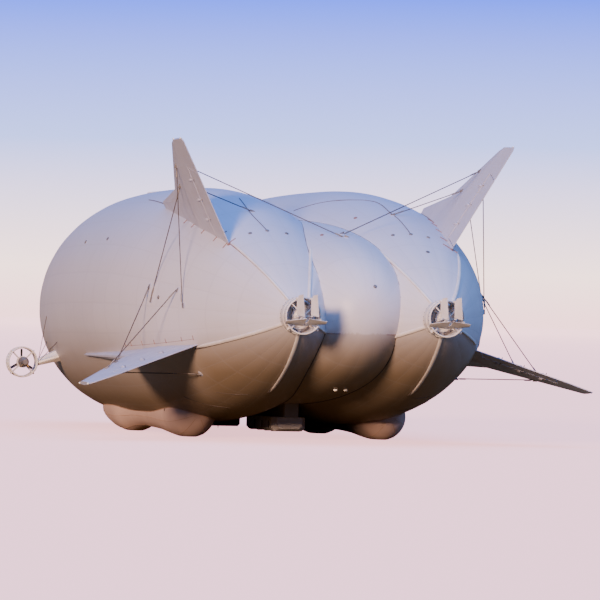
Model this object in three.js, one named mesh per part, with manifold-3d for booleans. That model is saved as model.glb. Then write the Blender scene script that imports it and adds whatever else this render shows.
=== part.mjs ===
// Hybrid airship with a three-lobed hull, as a scale model at one tenth.
// Millimetres, +X to the nose, +Y to port, +Z up, origin on the ground under the middle of the length.
import * as THREE from "three";
import { mergeVertices } from "three/addons/utils/BufferGeometryUtils.js";
import Module from "manifold-3d";

const wasm = await Module();
wasm.setup();

// Driving dimensions
const wall = 10; // envelope and landing tube skin
const seat = 0.3; // gap between pieces that rest on each other
const running = 6; // gap round a piece that moves
const ductSides = 24; // facets round a duct
const engineSides = 16; // facets round an engine and the collar that holds it
const rodSides = 12; // facets round a pin or shaft
const around = 32; // facets round a lobe
const tailBands = 9; // bands of a lobe from its fullest section to the tail
const noseBands = 8; // bands from the fullest section to the nose

// Each lobe has its fullest section at full, ends at tail and nose, and follows
// radius * (1 - u ** power) ** (1 / root) towards each end, where u runs from 0 to 1.
// Its width is wide times its height. Each end reaches its own wide at the share 1 / widen of the way.
const sideLobe = {
  radius: 1031,
  full: { x: -488, y: 613, z: 1146, wide: 0.993 },
  tail: { x: -4325, y: 606, z: 1060, power: 2.037, root: 1.511, drift: 3.478, wide: 1, widen: 1 },
  nose: { x: 4600, y: 405, z: 1040, power: 3.644, root: 1.973, drift: 2, wide: 0.942, widen: 2 },
  cutX: -4260, // the tail is cut flat here for its engine
};
const centreLobe = {
  radius: 809,
  full: { x: -200, y: 0, z: 1096, wide: 1 },
  tail: { x: -4151, y: 0, z: 1112, power: 3.087, root: 2.334, drift: 2, wide: 1, widen: 1 },
  nose: { x: 4470, y: 0, z: 1040, power: 2.98, root: 2.1, drift: 2, wide: 1, widen: 1 },
  cutX: -4151,
};

// Upper and lower fins, in a plane through (axisY, axisZ) raised by angle.
// reach is the distance from that axis.
// Columns: x, reach. They go from the strake's start round the tip to the trailing edge's root.
const upperFin = {
  name: "upper",
  axisY: 684,
  axisZ: 1140,
  angle: 61.5,
  strake: [-1500, 1010],
  kink: [-2220, 1120],
  tipFront: [-3060, 1585],
  tipBack: [-3440, 1560],
  stepBack: [-3390, 1320],
  rootBack: [-3215, 610],
  hingeRoot: [-2976, 690],
  hingeTip: [-3170, 1310],
};
const lowerFin = {
  name: "lower",
  axisY: 684,
  axisZ: 990,
  angle: -19.3,
  strake: [-150, 925],
  kink: [-1950, 960],
  tipFront: [-2970, 1550],
  tipBack: [-3430, 1600],
  stepBack: [-3420, 1320],
  rootBack: [-3190, 610],
  hingeRoot: [-2950, 690],
  hingeTip: [-3190, 1310],
};
const finRootReach = 430; // the fins' inner edge, inside the hull before it is trimmed
const finThickness = { strakeEdge: 8, root: 84, tip: 34, hinge: 34, hingeTip: 26, trailing: 7 };
const hingePin = { radius: 5, bore: 5.4, reach: 15 };

// Stern engine on each outer tail
const stern = { x: -4260, y: 607, z: 1066 };
const sternPlate = { radius: 112, thick: 12 };
const sternEngine = { radius: 62, length: 52, tipRadius: 30, tipLength: 14 };
const sternDuct = { front: -4238, back: -4440, outer: 153, inner: 142 };
const sternArm = { count: 4, thick: 10, front: -4296, back: -4322 };
const sternBar = { width: 9, front: -4424, back: -4437 };
const sternBoss = { radius: 20, front: -4420, back: -4442 };
// The elevator turns on a rod across a bracket behind the duct. It stands nose down, as in flight.
const elevator = {
  x: -4524,
  drop: 52,
  inner: 10,
  halfSpan: 172,
  rootHalf: 80,
  tipHalf: 28,
  thick: 11,
  edge: 3,
  upDegrees: 23,
};
const elevatorBracket = { halfWidth: 4, boss: 9, front: -4436, frontHeight: 16 };
// Two rudders side by side above the elevator, each between a lug on the duct and one on a bar.
const rudder = { x: -4466, apart: 60, turnDegrees: 15 };
// Columns: distance aft of the hinge at the lower edge, lower edge, the same distance at the upper edge,
// upper edge, half thickness. Heights count from the duct's axis.
const rudderStations = [
  [0, 10, 0, 132, 5.5],
  [17, 7, 17, 132, 5.2],
  [26, 5, 24, 166, 5],
  [124, -8, 98, 176, 1.5],
];
const rudderLug = { half: 8, low: -8, lowTop: 4, high: 138, highTop: 150 };
const vanePin = { radius: 3, bore: 3.4, reach: 13 };
const vanePinSides = 8;

// Forward engine on each side, on a pylon that lets it tilt
const forward = { x: 1800, y: 1741, z: 593 };
const forwardDuct = { front: 1860, back: 1744, outer: 138, inner: 127 };
const forwardArm = { thick: 9, front: 1796, back: 1756, beyond: 14 };
const forwardEngine = { radius: 46, front: 1800, back: 1640, tipRadius: 24 };
const pylon = { rootY: 1330, rootZ: 690, rootLength: 330, rootHeight: 130, tipLength: 110, tipHeight: 62 };
const trunnion = { radius: 16, bore: 16.7, reach: 40, collar: 24, collarLength: 9 };

// Propellers of both pairs
const propeller = {
  blades: 3,
  hub: 22,
  shaft: 8,
  shaftBore: 8.4,
  shaftReach: 22,
  rootChord: 30,
  tipChord: 22,
};
const sternPropeller = { x: -4360, radius: 131 };
const forwardPropeller = { x: 1830, radius: 119 };

// Landing tubes under the outer lobes. Columns: x, radius.
const tubeY = 852;
const tubeProfile = [
  [-1660, 0],
  [-1650, 70],
  [-1600, 130],
  [-1500, 186],
  [-1380, 206],
  [-1180, 206],
  [-880, 192],
  [-400, 164],
  [250, 150],
  [600, 174],
  [850, 206],
  [1050, 206],
  [1400, 178],
  [1750, 132],
  [1970, 84],
  [2040, 44],
  [2050, 0],
];
const tubeSink = 6; // how far the inflated tubes flatten on the ground
const tubeAround = 16;

// Cabin under the centre lobe. The plan is a half outline, columns: x, half width.
const cabin = {
  floor: 48,
  sill: 70,
  roof: 400,
  skin: 8,
  rear: 1150,
  ceiling: 190,
  floorInset: 16,
  roofInset: 8,
};
const cabinPlan = [
  [2160, 60],
  [2130, 108],
  [2060, 146],
  [1960, 170],
  [1150, 170],
];
const cabinWindow = { low: 104, high: 170, overlap: 8 };
// Columns: from x, to x
const sideWindows = [
  [1240, 1360],
  [1420, 1540],
  [1600, 1720],
];
const frontWindow = { x: 2000, halfWidth: 128, mullion: 9, glassRear: 1944 };
const glassThick = 4;
const cabinDoor = { rear: 1852, front: 1918, low: 70, high: 172, gap: 5 };
const doorKnuckle = { radius: 4, out: 7, length: 16, strap: 22, lug: 18, lugLength: 8, inset: 30 };

// The beam is shallower over the fuel pod, so that its clear underside ends ahead of the pod.
const beam = { rear: -1560, front: 1146, halfWidth: 62, low: 176, step: -400, podLow: 184 };
const fuelPod = { rear: -1500, front: -420, halfWidth: 150, low: 62, bevel: 26, endInset: 40, endLength: 60 };

const mooring = { back: 4408, plateRadius: 96, plateThick: 60, cone: 42, lip: 58, lipThick: 12, tip: 4600 };

// Main stays of the fins. Columns: name, fin, the place on the fin as x and reach, the point on the hull,
// and how far forward that point lies on the starboard side, where two stays would cross.
const stayRadius = 4;
const stayRows = [
  ["stay_upper_outer_fore", upperFin, -2590, 1180, [-2437, 1447, 1233], 0],
  ["stay_upper_outer_aft", upperFin, -2790, 1370, [-3011, 1312, 1161], 0],
  ["stay_upper_inner_fore", upperFin, -2590, 1180, [-2520, 200, 1790], 0],
  ["stay_upper_inner_aft", upperFin, -2790, 1370, [-3340, -330, 1590], 160],
  ["stay_lower_over_fore", lowerFin, -2500, 1150, [-2353, 1459, 1275], 0],
  ["stay_lower_over_aft", lowerFin, -2740, 1300, [-2879, 1337, 1261], 0],
  ["stay_lower_under", lowerFin, -2740, 1300, [-2900, 900, 560], 0],
];

// Colours of the finishes
const finish = {
  fabric: new THREE.MeshStandardMaterial({ color: 0xc9c7c8, roughness: 0.6 }),
  tube: new THREE.MeshStandardMaterial({ color: 0xbdb4ae, roughness: 0.7 }),
  fin: new THREE.MeshStandardMaterial({ color: 0xd4d2d2, roughness: 0.5 }),
  white: new THREE.MeshStandardMaterial({ color: 0xe4dfd6, roughness: 0.4 }),
  metal: new THREE.MeshStandardMaterial({ color: 0x77787c, roughness: 0.4, metalness: 0.8 }),
  dark: new THREE.MeshStandardMaterial({ color: 0x232427, roughness: 0.5 }),
  glass: new THREE.MeshStandardMaterial({ color: 0x26323a, roughness: 0.1 }),
  cable: new THREE.MeshStandardMaterial({ color: 0x3b3430, roughness: 0.6 }),
};

// Solids and meshes

function solid(geometry) {
  const bare = geometry.index ? geometry.toNonIndexed() : geometry.clone();
  bare.deleteAttribute("normal");
  bare.deleteAttribute("uv");
  const merged = mergeVertices(bare, 1e-3);
  return new wasm.Manifold(
    new wasm.Mesh({
      numProp: 3,
      vertProperties: merged.attributes.position.array,
      triVerts: new Uint32Array(merged.index.array),
    }),
  );
}

function geometryOf(body) {
  const mesh = body.getMesh();
  const geometry = new THREE.BufferGeometry();
  geometry.setAttribute("position", new THREE.BufferAttribute(mesh.vertProperties, 3));
  geometry.setIndex(new THREE.BufferAttribute(mesh.triVerts, 1));
  geometry.computeVertexNormals();
  return geometry;
}

function join(...bodies) {
  return bodies.reduce((all, body) => all.add(body));
}

// A closed skin over loops that have the same number of points.
function skin(loops) {
  const count = loops[0].length;
  const points = loops.flat();
  const index = [];
  for (let i = 0; i + 1 < loops.length; i++) {
    for (let k = 0; k < count; k++) {
      const a = i * count + k;
      const b = i * count + ((k + 1) % count);
      index.push(a, b, b + count, a, b + count, a + count);
    }
  }
  const last = (loops.length - 1) * count;
  for (let k = 1; k + 1 < count; k++) {
    index.push(0, k + 1, k, last, last + k, last + k + 1);
  }
  const geometry = new THREE.BufferGeometry();
  geometry.setAttribute("position", new THREE.Float32BufferAttribute(points.flat(), 3));
  geometry.setIndex(index);
  const body = solid(geometry);
  if (body.volume() > 0) return body;
  for (let i = 0; i < index.length; i += 3) {
    [index[i + 1], index[i + 2]] = [index[i + 2], index[i + 1]];
  }
  geometry.setIndex(index);
  return solid(geometry);
}

function box(x0, x1, y0, y1, z0, z1) {
  const geometry = new THREE.BoxGeometry(x1 - x0, y1 - y0, z1 - z0);
  geometry.translate((x0 + x1) / 2, (y0 + y1) / 2, (z0 + z1) / 2);
  return solid(geometry);
}

// A cylinder or cone between two points.
function rod(from, to, radius, endRadius = radius, sides = rodSides) {
  const a = new THREE.Vector3(...from);
  const b = new THREE.Vector3(...to);
  const along = b.clone().sub(a);
  const geometry = new THREE.CylinderGeometry(endRadius, radius, along.length(), sides);
  geometry.applyQuaternion(
    new THREE.Quaternion().setFromUnitVectors(new THREE.Vector3(0, 1, 0), along.clone().normalize()),
  );
  const middle = a.add(b).multiplyScalar(0.5);
  geometry.translate(middle.x, middle.y, middle.z);
  return solid(geometry);
}

// A body turned about a line along X, from a profile of [x, radius] that starts and ends on the line.
function turned(profile, y, z, sides) {
  const points = profile.map(([x, radius]) => new THREE.Vector2(radius, x));
  const geometry = new THREE.LatheGeometry(points, sides);
  geometry.rotateZ(-Math.PI / 2);
  geometry.translate(0, y, z);
  const body = solid(geometry);
  if (body.volume() > 0) return body;
  return solid(new THREE.LatheGeometry(points.reverse(), sides).rotateZ(-Math.PI / 2).translate(0, y, z));
}

function ring(front, back, outer, inner, y, z, sides) {
  const bore = turned([[back - 1, 0], [back - 1, inner], [front + 1, inner], [front + 1, 0]], y, z, sides);
  return turned([[back, 0], [back, outer], [front, outer], [front, 0]], y, z, sides).subtract(bore);
}

// Hull

// Radius, width share and axis of a lobe at x, made larger by grow all round.
function lobeSection(lobe, x, grow) {
  const end = x < lobe.full.x ? lobe.tail : lobe.nose;
  const endX = end.x + Math.sign(end.x - lobe.full.x) * grow;
  const u = Math.min(1, Math.abs(x - lobe.full.x) / Math.abs(endX - lobe.full.x));
  const drift = u ** end.drift;
  return {
    radius: (lobe.radius + grow) * Math.max(0, 1 - u ** end.power) ** (1 / end.root),
    wide: lobe.full.wide + (end.wide - lobe.full.wide) * Math.min(1, u * end.widen) ** 2,
    y: lobe.full.y + (end.y - lobe.full.y) * drift,
    z: lobe.full.z + (end.z - lobe.full.z) * u ** Math.min(end.drift, 2),
  };
}

function lobeSolid(lobe, grow) {
  const stations = [];
  const cut = Math.max(lobe.cutX, lobe.tail.x) - grow;
  const tailSpan = lobe.full.x - (lobe.tail.x - grow);
  const uCut = Math.min(1, (lobe.full.x - cut) / tailSpan);
  for (let i = 0; i < tailBands; i++) {
    const u = uCut * Math.cos((i / tailBands) * (Math.PI / 2)) ** 0.8;
    stations.push(lobe.full.x - u * tailSpan);
  }
  const noseSpan = lobe.nose.x + grow - lobe.full.x;
  for (let i = 0; i <= noseBands; i++) {
    stations.push(lobe.full.x + noseSpan * Math.sin((i / noseBands) * (Math.PI / 2)));
  }
  const profile = stations.map((x) => [x, lobeSection(lobe, x, grow).radius]);
  if (profile[0][1] > 0) profile.unshift([stations[0], 0]);
  profile[profile.length - 1][1] = 0;
  const points = profile.map(([x, radius]) => new THREE.Vector2(radius, x));
  const geometry = new THREE.LatheGeometry(points, around).rotateZ(-Math.PI / 2);
  const place = geometry.attributes.position;
  for (let i = 0; i < place.count; i++) {
    const section = lobeSection(lobe, place.getX(i), grow);
    place.setY(i, place.getY(i) * section.wide + section.y);
    place.setZ(i, place.getZ(i) + section.z);
  }
  return solid(geometry);
}

function mirrored(body) {
  const mesh = body.getMesh();
  const points = mesh.vertProperties.slice();
  for (let i = 1; i < points.length; i += 3) points[i] = -points[i];
  const index = mesh.triVerts.slice();
  for (let i = 0; i < index.length; i += 3) {
    [index[i + 1], index[i + 2]] = [index[i + 2], index[i + 1]];
  }
  return new wasm.Manifold(new wasm.Mesh({ numProp: 3, vertProperties: points, triVerts: index }));
}

const portOuter = lobeSolid(sideLobe, 0);
const centreOuter = lobeSolid(centreLobe, 0);
const portClear = lobeSolid(sideLobe, seat);
const centreClear = lobeSolid(centreLobe, seat);
const starboardClear = mirrored(portClear);
const hullClear = join(portClear, centreClear, starboardClear);
const portHalf = box(-5000, 5000, seat, 3000, -1000, 3000);

function envelopeSide() {
  return portOuter.subtract(lobeSolid(sideLobe, -wall)).intersect(portHalf).subtract(centreClear);
}

function envelopeCentre() {
  const bare = centreOuter.subtract(lobeSolid(centreLobe, -wall));
  return bare.subtract(portClear).subtract(starboardClear);
}

function offHull(body) {
  return body.subtract(hullClear);
}

// Fins

function finFrame(fin) {
  const angle = THREE.MathUtils.degToRad(fin.angle);
  const c = Math.cos(angle);
  const s = Math.sin(angle);
  return (x, reach, up) => [x, fin.axisY + reach * c - up * s, fin.axisZ + reach * s + up * c];
}

function lerp(a, b, t) {
  return a + (b - a) * t;
}

// A straight line through two [x, reach] places, read at a reach.
function lineX(a, b, reach) {
  return lerp(a[0], b[0], (reach - a[1]) / (b[1] - a[1]));
}

function frontX(fin, reach) {
  if (reach <= fin.strake[1]) return fin.strake[0];
  if (reach <= fin.kink[1]) return lineX(fin.strake, fin.kink, reach);
  return lineX(fin.kink, fin.tipFront, reach);
}

function backX(fin, reach) {
  if (reach <= fin.stepBack[1]) return lineX(fin.rootBack, fin.stepBack, reach);
  return lineX(fin.stepBack, fin.tipBack, reach);
}

// One section of a fin at a reach: its points from the leading edge over the top and back below.
function finLoop(fin, reach, tipReach, grow, endX) {
  const place = finFrame(fin);
  const t = Math.max(0, (reach - fin.hingeRoot[1]) / (tipReach - fin.hingeRoot[1]));
  const front = endX ? endX[0] : frontX(fin, reach);
  const back = endX ? endX[1] : backX(fin, reach);
  const hinge = Math.max(lineX(fin.hingeRoot, fin.hingeTip, reach), back + 60);
  const fullX = lerp(hinge, Math.min(front, fin.kink[0] + 100), 0.45);
  const full = lerp(finThickness.root, finThickness.tip, t);
  const atHinge = lerp(finThickness.hinge, finThickness.hingeTip, t);
  // Columns: x, thickness
  const rows = [
    [front, finThickness.strakeEdge],
    [lerp(front, fullX, 0.35), lerp(finThickness.strakeEdge, full, 0.62)],
    [fullX, full],
    [hinge, atHinge],
    [back, finThickness.trailing],
  ];
  const over = rows.map(([x, thick]) => place(x, reach, thick / 2 + grow));
  const under = rows.map(([x, thick]) => place(x, reach, -thick / 2 - grow)).reverse();
  return [...over, ...under];
}

function finWhole(fin, grow = 0) {
  const tipReach = (fin.tipFront[1] + fin.tipBack[1]) / 2;
  const reaches = [finRootReach, fin.strake[1], fin.kink[1], fin.stepBack[1], tipReach - 30];
  const loops = reaches.map((reach) => finLoop(fin, reach, tipReach, grow));
  loops.push(finLoop(fin, tipReach, tipReach, grow, [fin.tipFront[0] - 40, fin.tipBack[0] + 20]));
  return skin(loops);
}

// Frame of a fin's hinge line: origin, unit vector along it, unit vector aft, unit vector up, length.
function hingeFrame(fin) {
  const place = finFrame(fin);
  const a = new THREE.Vector3(...place(...fin.hingeRoot, 0));
  const b = new THREE.Vector3(...place(...fin.hingeTip, 0));
  const along = b.clone().sub(a);
  const length = along.length();
  along.normalize();
  const up = new THREE.Vector3(...place(0, 0, 1)).sub(new THREE.Vector3(...place(0, 0, 0)));
  const aft = up.clone().cross(along).normalize();
  if (aft.x > 0) aft.negate();
  const at = (s, d, h) => {
    const point = a.clone().addScaledVector(along, s);
    return point.addScaledVector(aft, d).addScaledVector(up, h).toArray();
  };
  return { at, length };
}

// A block in hinge coordinates: along s, aft d and up h.
function hingeBlock(frame, s0, s1, d0, d1, h) {
  const loop = (d) => [frame.at(s0, d, -h), frame.at(s1, d, -h), frame.at(s1, d, h), frame.at(s0, d, h)];
  return skin([loop(d0), loop(d1)]);
}

function finParts(fin) {
  const whole = finWhole(fin);
  const frame = hingeFrame(fin);
  const noseRoot = finThickness.hinge / 2 - 1;
  const noseTip = finThickness.hingeTip / 2 - 1;
  const deep = 400;
  const coveDepth = finThickness.hinge / 2 + running;
  const opening = hingeBlock(frame, -running, frame.length + running, -coveDepth, deep, 60);
  const bores = rod(
    frame.at(-hingePin.reach - running, 0, 0),
    frame.at(frame.length + hingePin.reach + running, 0, 0),
    hingePin.bore,
  );
  const fixed = offHull(whole.subtract(opening).subtract(bores));
  const aft = whole.intersect(hingeBlock(frame, 0, frame.length, 0, deep, 60));
  const nose = rod(frame.at(0, 0, 0), frame.at(frame.length, 0, 0), noseRoot, noseTip);
  const { radius, reach } = hingePin;
  const pinRoot = rod(frame.at(-reach, 0, 0), frame.at(4, 0, 0), radius);
  const pinTip = rod(frame.at(frame.length - 4, 0, 0), frame.at(frame.length + reach, 0, 0), radius);
  return { fixed: largest(fixed), surface: join(aft, nose, pinRoot, pinTip) };
}

function largest(body) {
  return body.decompose().reduce((a, b) => (b.volume() > a.volume() ? b : a));
}

// Stays: each runs from a lug on its fin to a lug on the hull.

function stay(fin, x, reach, hullPoint) {
  const place = finFrame(fin);
  const middle = new THREE.Vector3(...place(x, reach, 0));
  const target = new THREE.Vector3(...hullPoint);
  const toward = target.clone().sub(middle).normalize();
  const start = middle.clone().addScaledVector(toward, 8);
  const end = target.clone().addScaledVector(toward, 60);
  const line = rod(start.toArray(), end.toArray(), stayRadius, stayRadius, 8);
  return largest(offHull(line).subtract(finClear.get(fin)));
}

// Engines

function radial(x, radius, angle, y, z) {
  return [x, y + radius * Math.cos(angle), z + radius * Math.sin(angle)];
}

// A flat bar along a radius, from inner to outer.
function radialBar(x0, x1, inner, outer, thick, angle, y, z) {
  const side = angle + Math.PI / 2;
  const corner = (x, radius, offset) => {
    const [px, py, pz] = radial(x, radius, angle, y, z);
    return [px, py + offset * Math.cos(side), pz + offset * Math.sin(side)];
  };
  const loop = (radius) => [
    corner(x0, radius, -thick / 2),
    corner(x1, radius, -thick / 2),
    corner(x1, radius, thick / 2),
    corner(x0, radius, thick / 2),
  ];
  return skin([loop(inner), loop(outer)]);
}

function propellerSolid(at, centre, back) {
  const { y, z } = centre;
  const shaftEnd = back ? at.x + propeller.shaftReach + 20 : at.x - propeller.shaftReach - 20;
  const nose = back ? at.x - 18 : at.x + 18;
  const tail = back ? at.x + 14 : at.x - 14;
  const profile = [
    [tail, 0],
    [tail, propeller.hub],
    [lerp(tail, nose, 0.6), propeller.hub],
    [nose, propeller.hub * 0.45],
    [nose, 0],
  ];
  const parts = [turned(profile, y, z, rodSides), rod([at.x, y, z], [shaftEnd, y, z], propeller.shaft)];
  // Columns: share of the radius, share of the way from root chord to tip chord, pitch in degrees
  const stations = [
    [0.12, 0, 58],
    [0.4, 0.1, 38],
    [0.75, 0.5, 24],
    [1, 1, 17],
  ];
  for (let i = 0; i < propeller.blades; i++) {
    const angle = Math.PI / 2 + (i * 2 * Math.PI) / propeller.blades;
    const side = angle + Math.PI / 2;
    const loops = stations.map(([share, taper, pitch]) => {
      const chord = lerp(propeller.rootChord, propeller.tipChord, taper);
      const thick = lerp(7, 3, share);
      const turn = THREE.MathUtils.degToRad(pitch);
      const [px, py, pz] = radial(at.x, at.radius * share, angle, y, z);
      // Columns: along the chord, through the blade
      const rows = [
        [-0.5, 0],
        [-0.15, -0.5],
        [0.5, 0],
        [-0.15, 0.5],
      ];
      return rows.map(([c, t]) => {
        const across = chord * c * Math.cos(turn) - thick * t * Math.sin(turn);
        const fore = chord * c * Math.sin(turn) + thick * t * Math.cos(turn);
        return [px + fore, py + across * Math.cos(side), pz + across * Math.sin(side)];
      });
    });
    parts.push(skin(loops));
  }
  return join(...parts);
}

function sternEngineSolid() {
  const { x, y, z } = stern;
  const plateX = x - seat;
  const body = plateX - sternPlate.thick;
  const end = body - sternEngine.length;
  const tip = end - sternEngine.tipLength;
  const profile = [
    [tip, 0],
    [tip, sternEngine.tipRadius],
    [end, sternEngine.radius],
    [body, sternEngine.radius],
    [body, sternPlate.radius],
    [plateX, sternPlate.radius],
    [plateX, 0],
  ];
  const bore = rod([tip - 1, y, z], [tip + propeller.shaftReach + 12, y, z], propeller.shaftBore);
  return turned(profile, y, z, engineSides).subtract(bore);
}

function sternDuctSolid() {
  const { y, z } = stern;
  const parts = [ring(sternDuct.front, sternDuct.back, sternDuct.outer, sternDuct.inner, y, z, ductSides)];
  const collar = sternEngine.radius + seat + 0.6;
  parts.push(ring(sternArm.front, sternArm.back, collar + 8, collar, y, z, engineSides));
  for (let i = 0; i < sternArm.count; i++) {
    const angle = Math.PI / 4 + (i * Math.PI) / 2;
    const { front, back, thick } = sternArm;
    parts.push(radialBar(back, front, collar + 4, sternDuct.inner + 4, thick, angle, y, z));
    const bar = [sternBoss.radius - 4, sternDuct.inner + 4, sternBar.width];
    parts.push(radialBar(sternBar.back, sternBar.front, ...bar, angle, y, z));
  }
  parts.push(turned(bossProfile(), y, z, 20));
  const hingeZ = z - elevator.drop;
  const { halfWidth, boss, front: rootX, frontHeight } = elevatorBracket;
  const plate = (x, low, high) => [
    [x, y - halfWidth, low],
    [x, y + halfWidth, low],
    [x, y + halfWidth, high],
    [x, y - halfWidth, high],
  ];
  parts.push(skin([plate(rootX, z - frontHeight, z), plate(elevator.x, hingeZ - boss, hingeZ + boss)]));
  parts.push(rod([elevator.x, y - halfWidth, hingeZ], [elevator.x, y + halfWidth, hingeZ], boss));
  const vaneBore = [vanePin.bore, vanePin.bore, vanePinSides];
  const bores = [
    rod([elevator.x, y - halfWidth - 1, hingeZ], [elevator.x, y + halfWidth + 1, hingeZ], ...vaneBore),
  ];
  const { half, low, lowTop, high, highTop } = rudderLug;
  for (const side of [-1, 1]) {
    const hingeY = y + side * rudder.apart;
    const bar = [sternBoss.radius - 4, rudder.apart + half, sternBar.width];
    parts.push(radialBar(sternBar.back, sternBar.front, ...bar, side > 0 ? 0 : Math.PI, y, z));
    for (const [from, to] of [[low, lowTop], [high, highTop]]) {
      parts.push(box(rudder.x - half, sternBar.front, hingeY - half, hingeY + half, z + from, z + to));
      bores.push(rod([rudder.x, hingeY, z + from - 1], [rudder.x, hingeY, z + to + 1], ...vaneBore));
    }
  }
  return join(...parts).subtract(join(...bores));
}

function bossProfile() {
  return [
    [sternBoss.back, 0],
    [sternBoss.back, sternBoss.radius * 0.7],
    [sternBoss.back + 8, sternBoss.radius],
    [sternBoss.front, sternBoss.radius],
    [sternBoss.front + 8, sternBoss.radius * 0.5],
    [sternBoss.front + 8, 0],
  ];
}

function elevatorSolid() {
  const { x, inner, halfSpan, rootHalf, tipHalf, thick, edge, upDegrees } = elevator;
  const hingeZ = stern.z - elevator.drop;
  const turn = THREE.MathUtils.degToRad(upDegrees);
  // Columns: share of the half chord, thickness
  const rows = [
    [1, edge],
    [0.3, thick],
    [-0.1, thick],
    [-1, edge],
  ];
  const loop = (across, halfChord) => {
    const over = rows.map(([share, deep]) => [share * halfChord, deep / 2]);
    const under = rows.map(([share, deep]) => [share * halfChord, -deep / 2]).reverse();
    return [...over, ...under].map(([d, h]) => [
      x + d * Math.cos(turn) + h * Math.sin(turn),
      stern.y + across,
      hingeZ - d * Math.sin(turn) + h * Math.cos(turn),
    ]);
  };
  const halves = [-1, 1].map((side) => skin([loop(side * inner, rootHalf), loop(side * halfSpan, tipHalf)]));
  const ends = [-1, 1].map((side) => [x, stern.y + side * (inner + 30), hingeZ]);
  return join(...halves, rod(...ends, vanePin.radius, vanePin.radius, vanePinSides));
}

// A rudder on its upright pin, at side of the duct's axis, with its trailing edge turned.
function rudderSolid(side, turnDegrees) {
  const { y, z } = stern;
  const hingeY = y + side * rudder.apart;
  const turn = THREE.MathUtils.degToRad(turnDegrees);
  const point = (d, offset, height) => [
    rudder.x - d * Math.cos(turn) + offset * Math.sin(turn),
    hingeY - d * Math.sin(turn) - offset * Math.cos(turn),
    z + height,
  ];
  const loops = rudderStations.map(([lowD, low, highD, high, half]) => [
    point(lowD, half, low),
    point(lowD, -half, low),
    point(highD, -half, high),
    point(highD, half, high),
  ]);
  const [, low, , high, nose] = rudderStations[0];
  const upright = (from, to, radius) => rod(point(0, 0, from), point(0, 0, to), radius, radius, vanePinSides);
  const { radius, reach } = vanePin;
  return join(skin(loops), upright(low, high, nose), upright(low - reach, high + reach, radius));
}

function forwardDuctSolid() {
  const { y, z } = forward;
  const { front, back, outer, inner } = forwardDuct;
  const parts = [ring(front, back, outer, inner, y, z, ductSides)];
  const collar = forwardEngine.radius + seat + 0.5;
  parts.push(ring(forwardArm.front, forwardArm.back, collar + 7, collar, y, z, engineSides));
  for (let i = 0; i < 4; i++) {
    const angle = Math.PI / 4 + (i * Math.PI) / 2;
    const arm = [collar + 4, outer + forwardArm.beyond, forwardArm.thick];
    parts.push(radialBar(forwardArm.back, forwardArm.front, ...arm, angle, y, z));
  }
  const pinY = y - outer;
  const pinRoot = [forward.x, pinY + 5, z];
  parts.push(rod(pinRoot, [forward.x, pinY - trunnion.reach, z], trunnion.radius));
  parts.push(rod(pinRoot, [forward.x, pinY + 5 - trunnion.collarLength, z], trunnion.collar));
  return join(...parts);
}

function forwardEngineSolid() {
  const { y, z } = forward;
  const { front, back, radius, tipRadius } = forwardEngine;
  const profile = [
    [back, 0],
    [back, tipRadius],
    [back + 50, radius],
    [front - 6, radius],
    [front, radius - 8],
    [front, 0],
  ];
  const bore = rod([front + 1, y, z], [front - propeller.shaftReach - 12, y, z], propeller.shaftBore);
  return turned(profile, y, z, engineSides).subtract(bore);
}

function pylonSolid() {
  const tipY = forward.y - forwardDuct.outer - running;
  const loop = (y, z, length, height) => {
    const rows = [
      [0.5, 0.12],
      [0.2, 0.5],
      [-0.25, 0.5],
      [-0.5, 0.1],
      [-0.5, -0.1],
      [-0.25, -0.5],
      [0.2, -0.5],
      [0.5, -0.12],
    ];
    return rows.map(([a, b]) => [forward.x + a * length, y, z + b * height]);
  };
  const arm = skin([
    loop(pylon.rootY, pylon.rootZ, pylon.rootLength, pylon.rootHeight),
    loop(tipY, forward.z, pylon.tipLength, pylon.tipHeight),
  ]);
  const bore = rod(
    [forward.x, tipY + 1, forward.z],
    [forward.x, tipY - trunnion.reach + running - 2, forward.z],
    trunnion.bore,
  );
  return offHull(arm.subtract(bore));
}

// Landing tubes

function tubeSolid() {
  const full = Math.max(...tubeProfile.map(([, radius]) => radius));
  const z = full - tubeSink;
  const last = tubeProfile.length - 1;
  const shape = (inset) => {
    const rear = tubeProfile[0][0] + inset;
    const front = tubeProfile[last][0] - inset;
    const profile = tubeProfile.map(([x, radius], i) => {
      if (i === 0) return [rear, 0];
      if (i === last) return [front, 0];
      return [Math.min(Math.max(x, rear + 2), front - 2), radius - inset];
    });
    return turned(profile, tubeY, z, tubeAround);
  };
  const above = (height) => box(-2500, 2500, 0, 2000, height, 2000);
  const outer = shape(0).intersect(above(0));
  const inner = shape(wall).intersect(above(wall));
  return largest(offHull(outer.subtract(inner)));
}

// Cabin and beam

function planLoop(inset, z) {
  const half = cabinPlan.map(([x, y]) => [Math.min(x, cabinPlan[0][0]) - inset, y - inset]);
  half[half.length - 1][0] = cabin.rear + inset;
  const left = half.map(([x, y]) => [x, y, z]);
  const right = half.map(([x, y]) => [x, -y, z]).reverse();
  return [...left, ...right];
}

function glassBand(inset, overlap) {
  return skin([planLoop(inset, cabinWindow.low - overlap), planLoop(inset, cabinWindow.high + overlap)]);
}

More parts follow.
